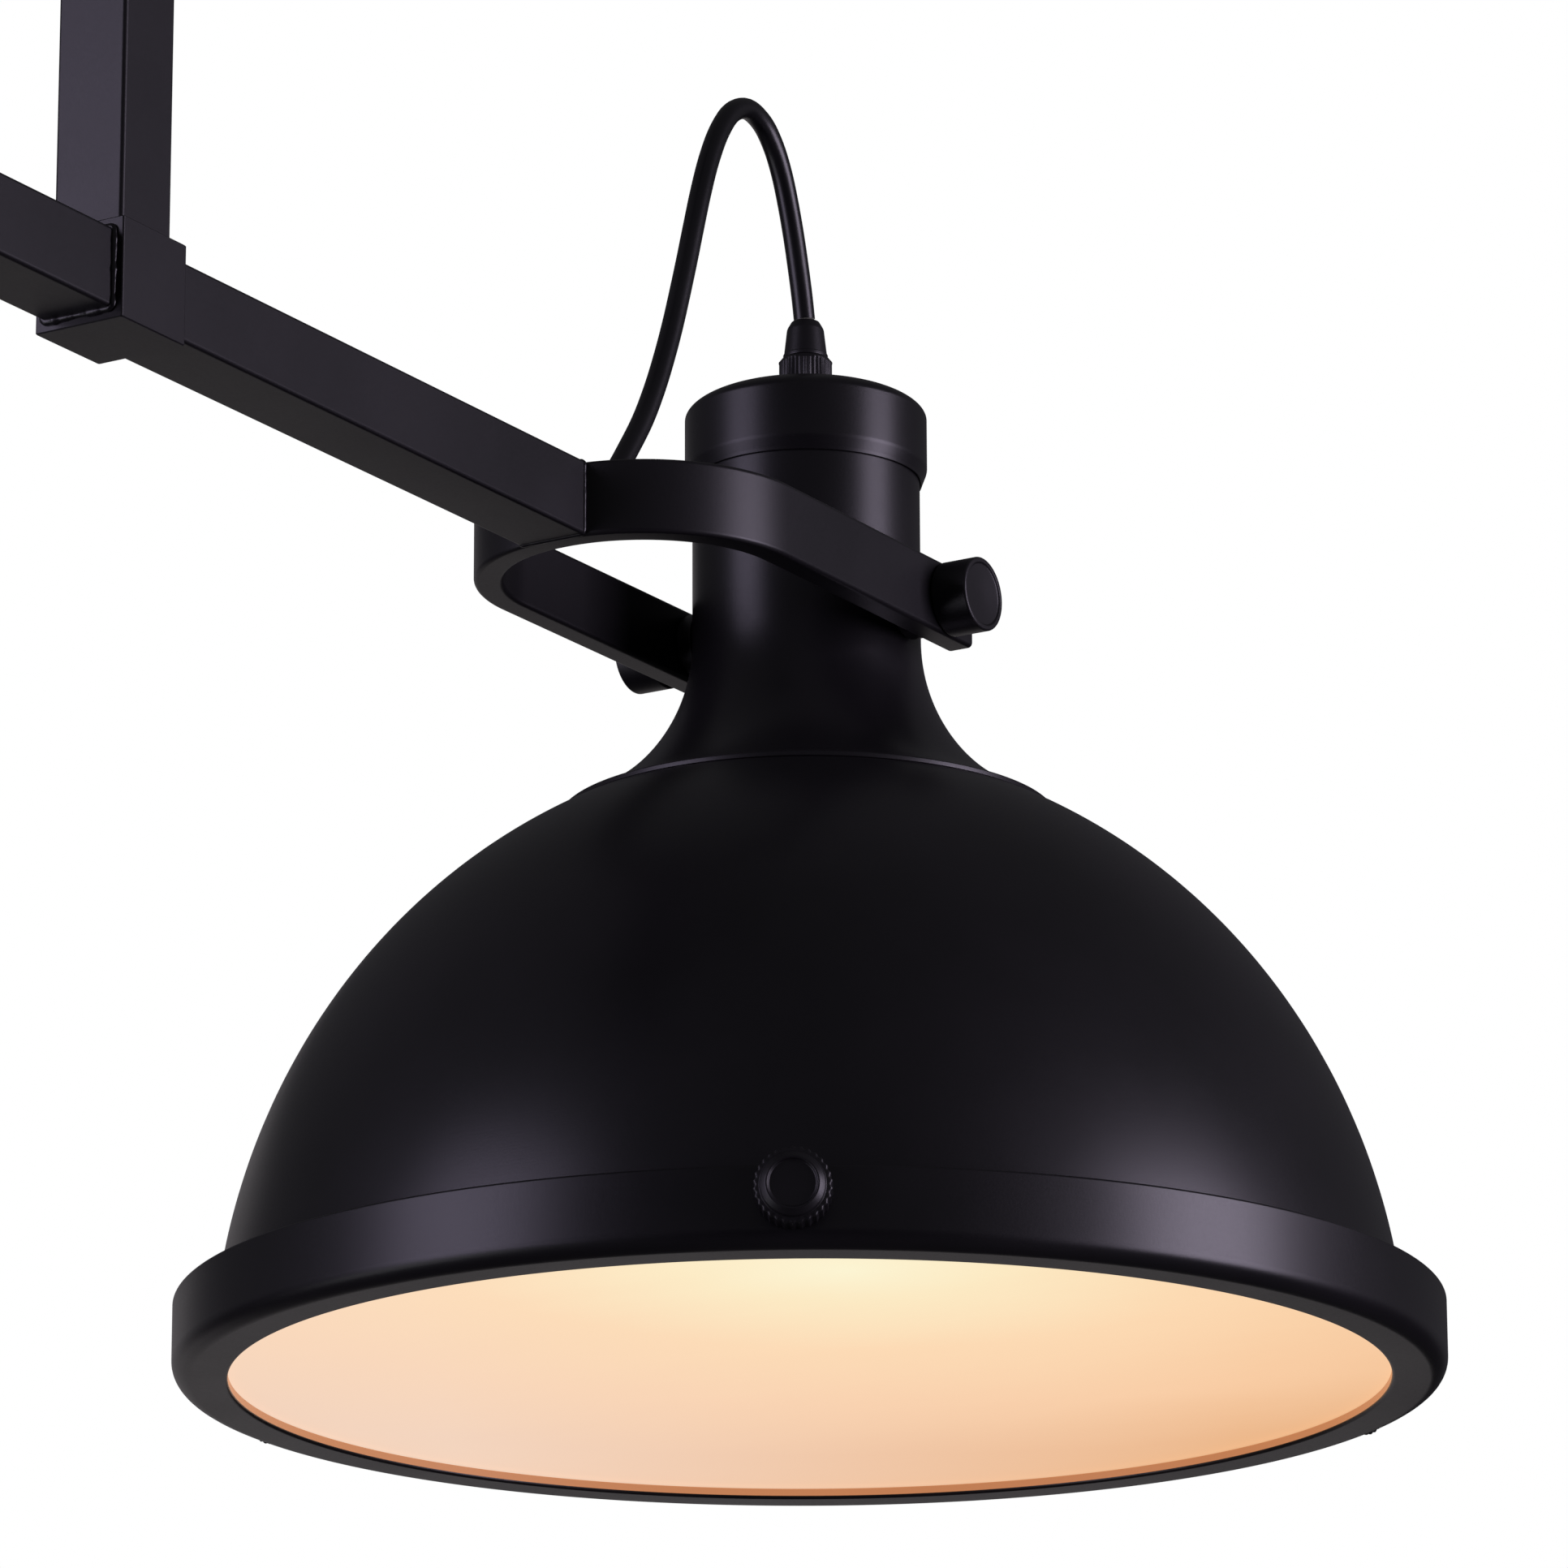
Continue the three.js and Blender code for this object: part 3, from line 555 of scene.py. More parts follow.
def place(obj, side, body, material, replaces=(), local=None, at_head=True):
    """Puts a piece made about the tilt axis (or the crossbar's middle) on its side and body."""
    origin = PIVOT[side] if at_head else Vector((0, 0, BAR_Z))
    base = Matrix.Translation(origin) @ TURN[side]
    obj.matrix_world = base @ (local or Matrix.Identity(4))
    finish_piece(obj, body, material, replaces)


def finish_piece(obj, body, material, replaces=()):
    """Gives a piece its material and body, and the nodes that it stands for."""
    if not obj.data.materials:
        obj.data.materials.append(material)
    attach(obj, body)
    if replaces:
        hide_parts(*replaces)


def two_materials(obj, first, second, chosen):
    """Gives faces the second material where chosen(centre in millimetres, normal) is true."""
    obj.data.materials.clear()
    obj.data.materials.append(first)
    obj.data.materials.append(second)
    for polygon in obj.data.polygons:
        polygon.material_index = int(chosen(polygon.center / MM, polygon.normal))


ALONG_X = Matrix.Rotation(QUARTER, 4, "Y")
ALONG_Y = Matrix.Rotation(-QUARTER, 4, "X")

# ---------------------------------------------------------------- the two cords

CORD_R = 3.0
CORD_EXIT_X = 207.8
# (x, z) from the bush in the yoke, up and over, and down into the gland
CORD_ROUTE = [
    (CORD_EXIT_X, 0), (211.6, 1), (215.8, 4.2), (220.5, 9.2), (226.5, 16.6), (232.6, 24.6),
    (240.3, 35.5), (246.4, 46.4), (251.4, 57.2), (255.6, 67.6), (259.3, 78), (262.8, 88.4),
    (266.2, 99), (269.9, 110.2), (274.2, 121.2), (279.6, 131.3), (286.2, 139), (294.2, 142.6),
    (302.2, 141), (308.2, 136), (312.6, 129.2), (316, 121.2), (319, 112.3), (321.4, 103.6),
    (323.2, 96.2), (324.5, 89.6),
]


def add_cord(side):
    """The free loop of cord, made as a fixed tube; the real one bends as the head tilts."""
    k = SIDES[side]
    line = spline([(k * x, 0, z) for x, z in CORD_ROUTE], per_span=5)
    obj = tube(f"{side}_cord_loop", line, CORD_R)
    obj.matrix_world = Matrix.Translation((0, 0, BAR_Z))
    obj.data.materials.append(JACKET)
    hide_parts(f"{side}_cord")
    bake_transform(obj)


for side in SIDES:
    add_cord(side)

# ---------------------------------------------------------------- ceiling parts and crossbar

TOP = -BAR_Z / MM  # the ceiling, above the crossbar's middle
TUBE_HALF, TUBE_WALL, TUBE_CORNER = 10.25, 1.5, 1.1
SLEEVE_HALF, SLEEVE_WALL, SLEEVE_CORNER, SLEEVE_FLOOR = 13, 2.45, 0.5, 2
UPRIGHT_BOTTOM = -10.7
LEAD_HOLE_R = 8.0
ACROSS_TUBE = ((-30, 0, 0), (30, 0, 0))
PLATE_R, PLATE_THICK, PLATE_HOLE_R = 50, 4, 8
PLATE_SCREW_Y, PLATE_SCREW_R = 35, 2.75
CANOPY_R, CANOPY_WALL, CANOPY_RIM, CANOPY_BOTTOM = 65, 1.5, TOP - 0.5, TOP - 28
COLLAR_R, COLLAR_TOP, COLLAR_HEIGHT = 19, CANOPY_BOTTOM - GAP, 12
GRUB_Z, GRUB_HOLE_R, GRUB_R, GRUB_TIP, GRUB_END = COLLAR_TOP - 6, 2.8, 2.5, 10.6, 19.5
GRUB_SOCKET_R, GRUB_SOCKET_END = 1.4, 17
SQUARE_HOLE_HALF, SQUARE_HOLE_CORNER = 10.55, 1.2


def centre_piece(obj, material, node):
    """Places a piece of the frame that is made about the crossbar's middle."""
    obj.matrix_world = Matrix.Translation((0, 0, BAR_Z))
    finish_piece(obj, "frame", material, [node])


def cut_square(target, low, high):
    """Cuts the hole that the upright goes through."""
    outline = round_box(SQUARE_HOLE_HALF, SQUARE_HOLE_HALF, SQUARE_HOLE_CORNER)
    cut_with(target, loft("cutter", [[(a, b, z) for a, b in outline] for z in (low, high)]))


def add_ceiling_parts():
    """The plate, canopy, collar and set screw, the upright and the sleeve."""
    under = TOP - PLATE_THICK
    plate = lathe("ceiling_plate_disc", rounded([
        (PLATE_HOLE_R, TOP, 0.3), (PLATE_R, TOP, 0.5), (PLATE_R, under, 0.5),
        (PLATE_HOLE_R, under, 0.3)]), 128)
    for y in (-PLATE_SCREW_Y, PLATE_SCREW_Y):
        drill(plate, PLATE_SCREW_R, (0, y, under - 2), (0, y, TOP + 2))
    centre_piece(plate, ZINC, "ceiling_plate")

    # A spun cup whose rim stands just off the ceiling
    inner_r, inner_z = CANOPY_R - CANOPY_WALL, CANOPY_BOTTOM + CANOPY_WALL
    profile = rounded([
        (10, CANOPY_BOTTOM), (CANOPY_R, CANOPY_BOTTOM, 7), (CANOPY_R, CANOPY_RIM, 0.5),
        (inner_r, CANOPY_RIM, 0.4), (inner_r, inner_z, 5.5), (10, inner_z)], 9)
    cup = lathe("canopy_cup", [(0, CANOPY_BOTTOM)] + profile + [(0, inner_z)], 160)
    cut_square(cup, TOP - 40, TOP - 20)
    centre_piece(cup, SPUN, "canopy")

    low = COLLAR_TOP - COLLAR_HEIGHT
    collar = lathe("canopy_collar_ring", [(0, COLLAR_TOP)] + rounded([
        (8, COLLAR_TOP), (COLLAR_R, COLLAR_TOP, 0.4), (COLLAR_R, low, 1.2), (8, low)]) +
        [(0, low)], 96)
    cut_square(collar, COLLAR_TOP - 20, COLLAR_TOP + 8)
    drill(collar, GRUB_HOLE_R, (0, 0, GRUB_Z), (0, 30, GRUB_Z))
    centre_piece(collar, HARD, "canopy_collar")

    def hexagon_socket(r, z, a):
        return hexagon(r, a) if r <= GRUB_SOCKET_R else r

    screw = lathe("collar_grub_screw", [(0, GRUB_TIP)] + rounded([
        (GRUB_R, GRUB_TIP, 0.3), (GRUB_R, GRUB_END, 0.3), (GRUB_SOCKET_R, GRUB_END),
        (GRUB_SOCKET_R, GRUB_SOCKET_END)]) + [(0, GRUB_SOCKET_END)], 48, hexagon_socket)
    screw.data.transform(ALONG_Y)
    screw.matrix_world = Matrix.Translation((0, 0, BAR_Z + GRUB_Z * MM))
    finish_piece(screw, "frame", ZINC, ["collar_set_screw"])

    post = square_tube("upright_tube", TUBE_HALF, TUBE_CORNER, TUBE_WALL, UPRIGHT_BOTTOM,
                       under - GAP)
    drill(post, LEAD_HOLE_R, *ACROSS_TUBE)
    centre_piece(post, PAINT, "upright")

    socket = square_tube("crossbar_socket", SLEEVE_HALF, SLEEVE_CORNER, SLEEVE_WALL, -SLEEVE_HALF,
                         SLEEVE_HALF, floor=SLEEVE_FLOOR, chamfer=0.3)
    drill(socket, LEAD_HOLE_R, *ACROSS_TUBE)
    centre_piece(socket, PAINT, "crossbar_sleeve")


WELD_STEPS = 360
WELD_LUMPS = 40
WELD_PITCH = 2.6


def weld_bead(name, half, corner, at, radius, ripple, seed):
    """A rippled bead of weld round a square tube's end, in the plane x = at."""
    outline = round_box(half, half, corner, 6)
    loop = [Vector(p) for p in outline + outline[:1]]
    lengths = [0.0]
    for a, b in zip(loop, loop[1:]):
        lengths.append(lengths[-1] + (b - a).length)
    lumps = np.random.default_rng(seed).normal(0, 1, WELD_LUMPS)
    line, radii = [], []
    for i in range(WELD_STEPS):
        s = lengths[-1] * i / WELD_STEPS
        n = max(j for j in range(len(lengths) - 1) if lengths[j] <= s + 1e-9)
        t = (s - lengths[n]) / max(lengths[n + 1] - lengths[n], 1e-9)
        p = loop[n].lerp(loop[n + 1], t)
        line.append((at, p.x, p.y))
        lump, part = divmod(WELD_LUMPS * i / WELD_STEPS, 1)
        slow = lumps[int(lump)] * (1 - part) + lumps[(int(lump) + 1) % WELD_LUMPS] * part
        fast = math.sin(2 * math.pi * s / WELD_PITCH)
        radii.append(radius * (1 + ripple * (0.9 * slow + 0.2 * fast)))
    return tube(name, line, radius, 12, closed=True, radii=radii)


add_ceiling_parts()

# ---------------------------------------------------------------- arm: bar, yoke, grommet, leads

AXIS_X = 325  # a head's tilt axis
YOKE_BACK, YOKE_TIP = 196.0, 338.5
YOKE_HALF, YOKE_HEIGHT, YOKE_THICK, YOKE_CORNER = 45.5, 20.5, 8.0, 45.0
STUD_HOLE_R = 3.4
BUSH_HOLE_R, BUSH_R, BUSH_FLANGE_R, BUSH_FLANGE_THICK = 5.4, 5.1, 7, 2.4
CORD_HOLE_R = 3.4
LEAD_X, LEAD_BEND_R = 4, 12
WELD_SEEDS = {"right": 11, "left": 29}


def yoke_path():
    """The middle line of the strap, from its +Y tip round the back to its -Y tip."""
    bend_x = YOKE_BACK + YOKE_CORNER
    flat = YOKE_HALF - YOKE_CORNER
    r = YOKE_CORNER - YOKE_THICK / 2
    middle = YOKE_HALF - YOKE_THICK / 2
    first = [(x, middle) for x in np.linspace(YOKE_TIP, bend_x, 14)]
    one = ellipse(bend_x, flat, r, r, QUARTER, math.pi, 28)
    two = ellipse(bend_x, -flat, r, r, math.pi, 3 * QUARTER, 28)
    last = [(x, -middle) for x in np.linspace(bend_x, YOKE_TIP, 14)]
    return first + one[1:] + two + last[1:]


def add_arm(side):
    """Half of the crossbar: the bar, the yoke, their welds, the bush and the lead."""
    bar = square_tube(f"{side}_bar_tube", TUBE_HALF, TUBE_CORNER, TUBE_WALL, SLEEVE_HALF + GAP,
                      YOKE_BACK + 2)
    bar.data.transform(ALONG_X)
    bend_x = YOKE_BACK + YOKE_CORNER
    drill(bar, YOKE_CORNER + 0.35, (bend_x, 0, -30), (bend_x, 0, 30), 256)
    place(bar, side, "frame", PAINT, [f"{side}_bar"], at_head=False)

    section = round_box(YOKE_THICK / 2, YOKE_HEIGHT / 2, 1.3)
    strap = sweep(f"{side}_yoke_strap", yoke_path(), section, 1.1)
    drill(strap, STUD_HOLE_R, (AXIS_X, -60, 0), (AXIS_X, 60, 0))
    drill(strap, BUSH_HOLE_R, (YOKE_BACK - 6, 0, 0), (YOKE_BACK + 14, 0, 0))
    place(strap, side, "frame", PAINT, [f"{side}_yoke"], at_head=False)

    seed = WELD_SEEDS[side]
    near = weld_bead(f"{side}_sleeve_weld", TUBE_HALF + 0.1, TUBE_CORNER, SLEEVE_HALF + 0.25,
                     1.0, 0.12, seed)
    place(near, side, "frame", WELD, at_head=False)
    far = weld_bead(f"{side}_yoke_weld", TUBE_HALF - 0.35, TUBE_CORNER, YOKE_BACK + 0.2,
                    0.8, 0.05, seed + 1)
    place(far, side, "frame", WELD, at_head=False)

    start, face = YOKE_BACK + GAP, YOKE_BACK + YOKE_THICK + 1
    grommet = lathe(f"{side}_lead_grommet", rounded([
        (CORD_HOLE_R, start), (BUSH_R, start), (BUSH_R, face), (BUSH_FLANGE_R, face, 0.3),
        (BUSH_FLANGE_R, face + BUSH_FLANGE_THICK, 1.4),
        (CORD_HOLE_R, face + BUSH_FLANGE_THICK, 0.5)]), 64)
    grommet.data.transform(ALONG_X)
    place(grommet, side, "frame", RUBBER, [f"{side}_grommet"], at_head=False)

    bend = ellipse(LEAD_X + LEAD_BEND_R, LEAD_BEND_R, LEAD_BEND_R, LEAD_BEND_R,
                   -QUARTER, -2 * QUARTER, 12)
    run = [(CORD_EXIT_X - 4 * GAP, 0), *bend, (LEAD_X, TOP - 2)]
    lead = tube(f"{side}_bar_lead_run", [(x, 0, z) for x, z in run], CORD_R, 20)
    place(lead, side, "frame", JACKET, [f"{side}_bar_lead"], at_head=False)


for side in SIDES:
    add_arm(side)

# ---------------------------------------------------------------- head

NECK_R, NECK_WALL, NECK_TOP = 31.6, 1.5, 55
FLARE_TOP, FLARE_OUT, FLARE_DOWN, BELL_FLANGE_R = -4.8, 56.3, 54.4, 68.5
CAP_R, CAP_WALL, CAP_TOP, CAP_BOTTOM = 33.7, 1.5, 67.3, 41.0
CAP_FLAT_R, CAP_SHOULDER, CAP_HOLE_R = 5.5, 7.8, 4.9
GLAND_R, GLAND_HEX_R, GLAND_STEM_R, GLAND_RIBS = 7.25, 8.176, 4.6, 36
GLAND_FOOT, GLAND_SEAT, GLAND_TIP = CAP_TOP + GAP, 77.6, 88.8
SHADE_TOP, SHADE_RIM, SHADE_WALL = -57.6, -194.6, 1.8
SHADE_HOLE_R = 20.8
SHADE_CENTRE, SHADE_A, SHADE_B = -213.2, 160.8, 172.4
SKIRT_R, SKIRT_BOTTOM = 166.0, -205.8
RING_R, RING_INNER_R, RING_OPENING_R = 171.4, 169.1, 156.3
RING_TOP, RING_BOTTOM, RING_LIP = -193.6, -214.4, 3.0
GLASS_R, GLASS_THICK = 168.4, 3.5
GASKET_R, GASKET_INNER_R = 168, 157.5
THUMB_Z, THUMB_R, THUMB_THICK, THUMB_STUD_R, THUMB_RIBS = -200.5, 9.75, 7.4, 2.2, 30
THUMB_HOLE_R = 2.6
THUMB_ANGLES = (210, 330, 90)
KNOB_R, KNOB_FACE, STUD_END, STUD_R = 10.3, 56.7, 27, 2.9
SPACER_R = 9
BRIDGE_HALF, BRIDGE_LOW, BRIDGE_THICK, BRIDGE_TOP = 29.0, -10.0, 2.0, 9
NIPPLE_R, NIPPLE_HOLE_R, NIPPLE_TOP, NIPPLE_BOTTOM = 5, 3.7, -6, -24
HEAD_LEAD_LOW = -21.5
HOLDER_TOP, HOLDER_FLOOR, HOLDER_BOTTOM, HOLDER_R = -20, -36, -72, 17
SHADE_NUT_R, SHADE_NUT_THICK = 27, 3
BULB_CAP_R, BULB_CAP_LOW, THREAD_DEPTH, THREAD_STEP = 13.2, -64, 0.45, 1.75
BULB_R, BULB_BOTTOM = 30, -146


def add_neck(side, body):
    """The cap and the bell, whose tube flares out to a flange on the dome."""
    flat, low = CAP_FLAT_R, CAP_TOP - CAP_SHOULDER
    shoulder = ellipse(flat, low, CAP_R - flat, CAP_SHOULDER, 0, QUARTER, 40)
    under = ellipse(flat, low, CAP_R - flat - CAP_WALL, CAP_SHOULDER - CAP_WALL, QUARTER, 0, 30)
    foot = rounded([
        (CAP_R - 1.7, CAP_BOTTOM), (CAP_R - 1.45, CAP_BOTTOM, 0.15),
        (CAP_R - 1.15, CAP_BOTTOM + 0.9, 1.5), (CAP_R, CAP_BOTTOM + 3.9, 3.5),
        (CAP_R, CAP_BOTTOM + 8)], 6)
    hole = [(CAP_HOLE_R, CAP_TOP), (CAP_HOLE_R, CAP_TOP - CAP_WALL)]
    cap = lathe(f"{side}_neck_cap_shell",
                foot + shoulder + hole + under + [(CAP_R - CAP_WALL, CAP_BOTTOM + 5)], 160)
    place(cap, side, body, SPUN, [f"{side}_neck_cap"])

    swept = math.acos(1 - (BELL_FLANGE_R - NECK_R) / FLARE_OUT)
    flare = ellipse(NECK_R + FLARE_OUT, FLARE_TOP, FLARE_OUT, FLARE_DOWN, math.pi, math.pi + swept,
                    40)
    wall = [(r - NECK_WALL, z - 0.6) for r, z in reversed(flare[:-1])]
    levels = (NECK_TOP, 30, 14, 9, 0)
    straight = [(NECK_R, z) for z in levels]
    inner = [(NECK_R - NECK_WALL, z) for z in reversed(levels)]
    lip = SHADE_TOP + GAP
    edge = rounded([
        flare[-2], (BELL_FLANGE_R, flare[-1][1], 0.4), (BELL_FLANGE_R, lip, 0.3),
        (BELL_FLANGE_R - 2.5, lip)])[1:]
    bell = lathe(f"{side}_neck_bell_shell", straight + flare[:-1] + edge + wall + inner, 160)
    drill(bell, STUD_HOLE_R, (0, -40, 0), (0, 40, 0))
    place(bell, side, body, SPUN, [f"{side}_neck_bell"])


def add_gland(side, body):
    """The cable gland: a knurled body between two hexagons, and a tapered nut."""
    foot, seat, stem = GLAND_FOOT, GLAND_SEAT, GLAND_FOOT - 6

    def knurled(r, z, a):
        if r <= 6.9:
            return r
        if foot + 2.3 < z < seat - 1:
            return r + 0.14 * math.cos(GLAND_RIBS * a)
        return min(hexagon(GLAND_HEX_R, a), r + 0.35)

    base = lathe(f"{side}_gland_body", rounded([
        (CORD_HOLE_R, stem), (GLAND_STEM_R, stem), (GLAND_STEM_R, foot), (GLAND_R, foot, 0.2),
        (GLAND_R, foot + 2.2), (7.0, foot + 2.4), (GLAND_R, foot + 2.7), (GLAND_R, seat - 1.3),
        (7.15, seat - 0.8, 0.2), (6.8, seat), (CORD_HOLE_R, seat)]), GLAND_RIBS * 6, knurled)
    place(base, side, body, HARD, [f"{side}_gland_base"])

    low = seat + GAP
    nut = lathe(f"{side}_gland_cone", rounded([
        (CORD_HOLE_R, low), (6.3, low, 0.3), (6.25, low + 1.1, 0.2), (6.0, low + 1.3),
        (5.15, low + 8.7, 2.4), (3.9, GLAND_TIP, 0.6), (CORD_HOLE_R, GLAND_TIP)], 9), 96)
    place(nut, side, body, HARD, [f"{side}_gland_nut"])


def add_inside(side, body, bulb):
    """What is inside the head: the bridge, nipple, lead, lampholder and the bulb."""
    y, z, bend = BRIDGE_HALF - BRIDGE_THICK / 2, BRIDGE_LOW + BRIDGE_THICK / 2, 2
    half = [(-y, BRIDGE_TOP), (-y, z + bend)]
    half += ellipse(bend - y, z + bend, bend, bend, math.pi, 3 * QUARTER, 6)[1:]
    path = half + [(-a, b) for a, b in reversed(half)]
    strap = sweep(f"{side}_bridge_strap", path, round_box(BRIDGE_THICK / 2, 6, 0.4, 3), 0.4)
    strap.data.transform(Matrix.Rotation(QUARTER, 4, "Z") @ Matrix.Rotation(QUARTER, 4, "X"))
    drill(strap, STUD_HOLE_R, (0, -40, 0), (0, 40, 0))
    drill(strap, BUSH_HOLE_R, (0, 0, -20), (0, 0, 0))
    place(strap, side, body, ZINC, [f"{side}_bridge"])

    nipple = lathe(f"{side}_nipple_tube", rounded([
        (NIPPLE_HOLE_R, NIPPLE_BOTTOM, 0.2), (NIPPLE_R, NIPPLE_BOTTOM, 0.4),
        (NIPPLE_R, NIPPLE_TOP, 0.4), (NIPPLE_HOLE_R, NIPPLE_TOP, 0.2)]), 48)
    place(nipple, side, body, ZINC, [f"{side}_nipple"])
    lead = tube(f"{side}_head_lead_run", [(0, 0, HEAD_LEAD_LOW), (0, 0, GLAND_TIP)], CORD_R, 20)
    place(lead, side, body, JACKET, [f"{side}_head_lead"])

    seat = SHADE_TOP + GAP
    holder = lathe(f"{side}_lampholder_body", rounded([
        (5.4, HOLDER_TOP), (15, HOLDER_TOP, 0.8), (HOLDER_R, HOLDER_TOP - 2, 0.8),
        (HOLDER_R, seat + 3, 0.5), (24, seat + 3, 0.6), (24, seat, 0.3), (19.5, seat),
        (19.5, HOLDER_BOTTOM, 0.8), (14.2, HOLDER_BOTTOM, 0.5), (14.2, HOLDER_FLOOR),
        (5.4, HOLDER_FLOOR)]), 96)
    place(holder, side, body, PHENOLIC, [f"{side}_lampholder"])

    def notched(r, z, a):
        return r - 0.5 if r > 25 and math.cos(12 * a) > 0.3 else r

    top = SHADE_TOP - SHADE_WALL - GAP
    low = top - SHADE_NUT_THICK
    nut = lathe(f"{side}_shade_nut_ring", rounded([
        (20, top, 0.2), (SHADE_NUT_R, top, 0.4), (SHADE_NUT_R, low, 0.4), (20, low, 0.2)]),
        96, notched)
    place(nut, side, body, ZINC, [f"{side}_shade_nut"])

    thread = [(BULB_CAP_R - THREAD_DEPTH * (i % 2), -44 - i * THREAD_STEP) for i in range(11)]
    screw = lathe(f"{side}_bulb_screw_cap", [(0, -37.5), (4, -37.5), (BULB_CAP_R, -42)] + thread +
                  [(BULB_CAP_R, BULB_CAP_LOW), (0, BULB_CAP_LOW)], 96)
    place(screw, side, bulb, ZINC, [f"{side}_bulb_cap"])
    neck = BULB_CAP_LOW - GAP
    outline = spline([(12.9, neck, 0), (12.9, -73, 0), (19, -85, 0), (27, -99, 0),
                      (BULB_R, -115, 0), (26, -132, 0), (14, -143, 0), (4, -145.8, 0)], 6)
    globe = lathe(f"{side}_bulb_glass", [(0, neck)] + [(min(p.x, BULB_R), p.y) for p in outline] +
                  [(0, BULB_BOTTOM)], 96)
    place(globe, side, bulb, OPAL, [f"{side}_bulb_globe"])


def dome_line(inset, high, low, steps):
    """The dome's curve between two heights, set in from its outside."""
    half = SHADE_B - inset
    start = math.asin((high - SHADE_CENTRE) / half)
    end = math.asin((low - SHADE_CENTRE) / half)
    return ellipse(0, SHADE_CENTRE, SHADE_A - inset, half, start, end, steps)


def add_shade(side, body):
    """The dome with its skirt, black outside and enamelled inside."""
    outside = dome_line(0, SHADE_TOP, SHADE_RIM, 64)
    inside = dome_line(SHADE_WALL, SHADE_TOP - SHADE_WALL, SHADE_RIM - SHADE_WALL, 64)
    edge_r, inner_skirt = outside[0][0], SKIRT_R - SHADE_WALL
    outline = [(SHADE_HOLE_R, SHADE_TOP), (40, SHADE_TOP)]
    outline += rounded([(edge_r - 4, SHADE_TOP), (edge_r, SHADE_TOP, 1.6), outside[1]])[:-1]
    outline += outside[1:-1]
    outline += rounded([
        outside[-2], (outside[-1][0], SHADE_RIM, 1.2), (SKIRT_R, SHADE_RIM, 0.8),
        (SKIRT_R, SKIRT_BOTTOM, 0.4), (inner_skirt, SKIRT_BOTTOM, 0.4),
        (inner_skirt, SHADE_RIM - SHADE_WALL, 0.4), inside[-1]])[1:]
    outline += inside[-2::-1] + [(SHADE_HOLE_R, SHADE_TOP - SHADE_WALL)]
    dome = lathe(f"{side}_shade_dome", outline, 224)

    def is_inside(centre, normal):
        out = Vector((centre.x, centre.y, 0))
        if out.dot(normal) < 0 and centre.z < SHADE_TOP - 1:
            return True
        return normal.z < -0.5 and centre.z < SHADE_TOP and out.length < edge_r

    two_materials(dome, SPUN, ENAMEL, is_inside)
    place(dome, side, body, SPUN, [f"{side}_shade"])


def add_ring(side, body):
    """The trim ring, the glass that lies on its lip, and the gasket on the glass."""
    low, lip = RING_BOTTOM, RING_BOTTOM + RING_LIP
    channel = rounded([
        (RING_INNER_R, RING_TOP, 0.35), (RING_R, RING_TOP, 0.7), (RING_R, THUMB_Z),
        (RING_R, low, 5), (RING_OPENING_R, low, 0.9), (RING_OPENING_R, lip, 0.3),
        (RING_INNER_R, lip, 0.3)], 9)
    ring = lathe(f"{side}_ring_channel", channel, 288)
    for angle in THUMB_ANGLES:
        a = math.radians(angle)
        out, level = Vector((math.cos(a), math.sin(a), 0)), Vector((0, 0, THUMB_Z))
        drill(ring, THUMB_HOLE_R, out * 160 + level, out * 178 + level)

    # the faces of the lip's inner edge, which get the painted glow
    def gets_painted_glow(centre, normal):
        return centre.xy.length < RING_OPENING_R + 0.25 and centre.z > low + 0.85

    two_materials(ring, SPUN, PAINTED_GLOW_EDGE, gets_painted_glow)
    place(ring, side, body, SPUN, [f"{side}_trim_ring"])

    low = lip + GAP
    high = low + GLASS_THICK
    glass = lathe(f"{side}_glass_disc", [(0, low), (60, low), (120, low)] + rounded([
        (150, low), (GLASS_R, low, 0.6), (GLASS_R, high, 0.6), (150, high)]) + [(0, high)], 192)
    place(glass, side, body, FROSTED_PAINTED_GLOW, [f"{side}_diffuser"])
    low, high = high + GAP, SKIRT_BOTTOM - GAP
    seal = lathe(f"{side}_gasket_ring", rounded([
        (GASKET_INNER_R, low, 0.5), (GASKET_R, low, 0.5), (GASKET_R, high, 0.5),
        (GASKET_INNER_R, high, 0.5)]), 160)
    place(seal, side, body, RUBBER, [f"{side}_gasket"])


def add_thumb_screw(side, number, angle):
    """A knurled thumb screw that reaches through the ring to the skirt."""
    tip, face = SKIRT_R + 0.5, RING_R + 0.4
    top = face + THUMB_THICK

    def knurl(r, z, a):
        if r > 9 and z < top + 0.2:
            return r + 0.22 * math.cos(THUMB_RIBS * a)
        return r

    outline = [(0, tip), (1.6, tip), (THUMB_STUD_R, tip + 0.6), (THUMB_STUD_R, face), (6, face)]
    outline += rounded([
        (8, face), (THUMB_R, face, 0.5), (THUMB_R, top, 0.7), (8.4, top + 0.2, 0.2),
        (8.1, top + 1.2, 0.4), (6.5, top + 2.8, 0.8), (5.9, top + 1.8, 0.5), (4, top + 1.7)], 12)
    outline += [(0, top + 1.7)]
    screw = lathe(f"{side}_thumb_screw_head_{number}", outline, THUMB_RIBS * 6, knurl)
    screw.data.transform(ALONG_X)
    local = Matrix.Rotation(math.radians(angle), 4, "Z")
    local.translation = Vector((0, 0, THUMB_Z * MM))
    place(screw, side, f"{side}_thumb_{number}_body", HARD,
          [f"{side}_thumb_screw_{number}"], local)


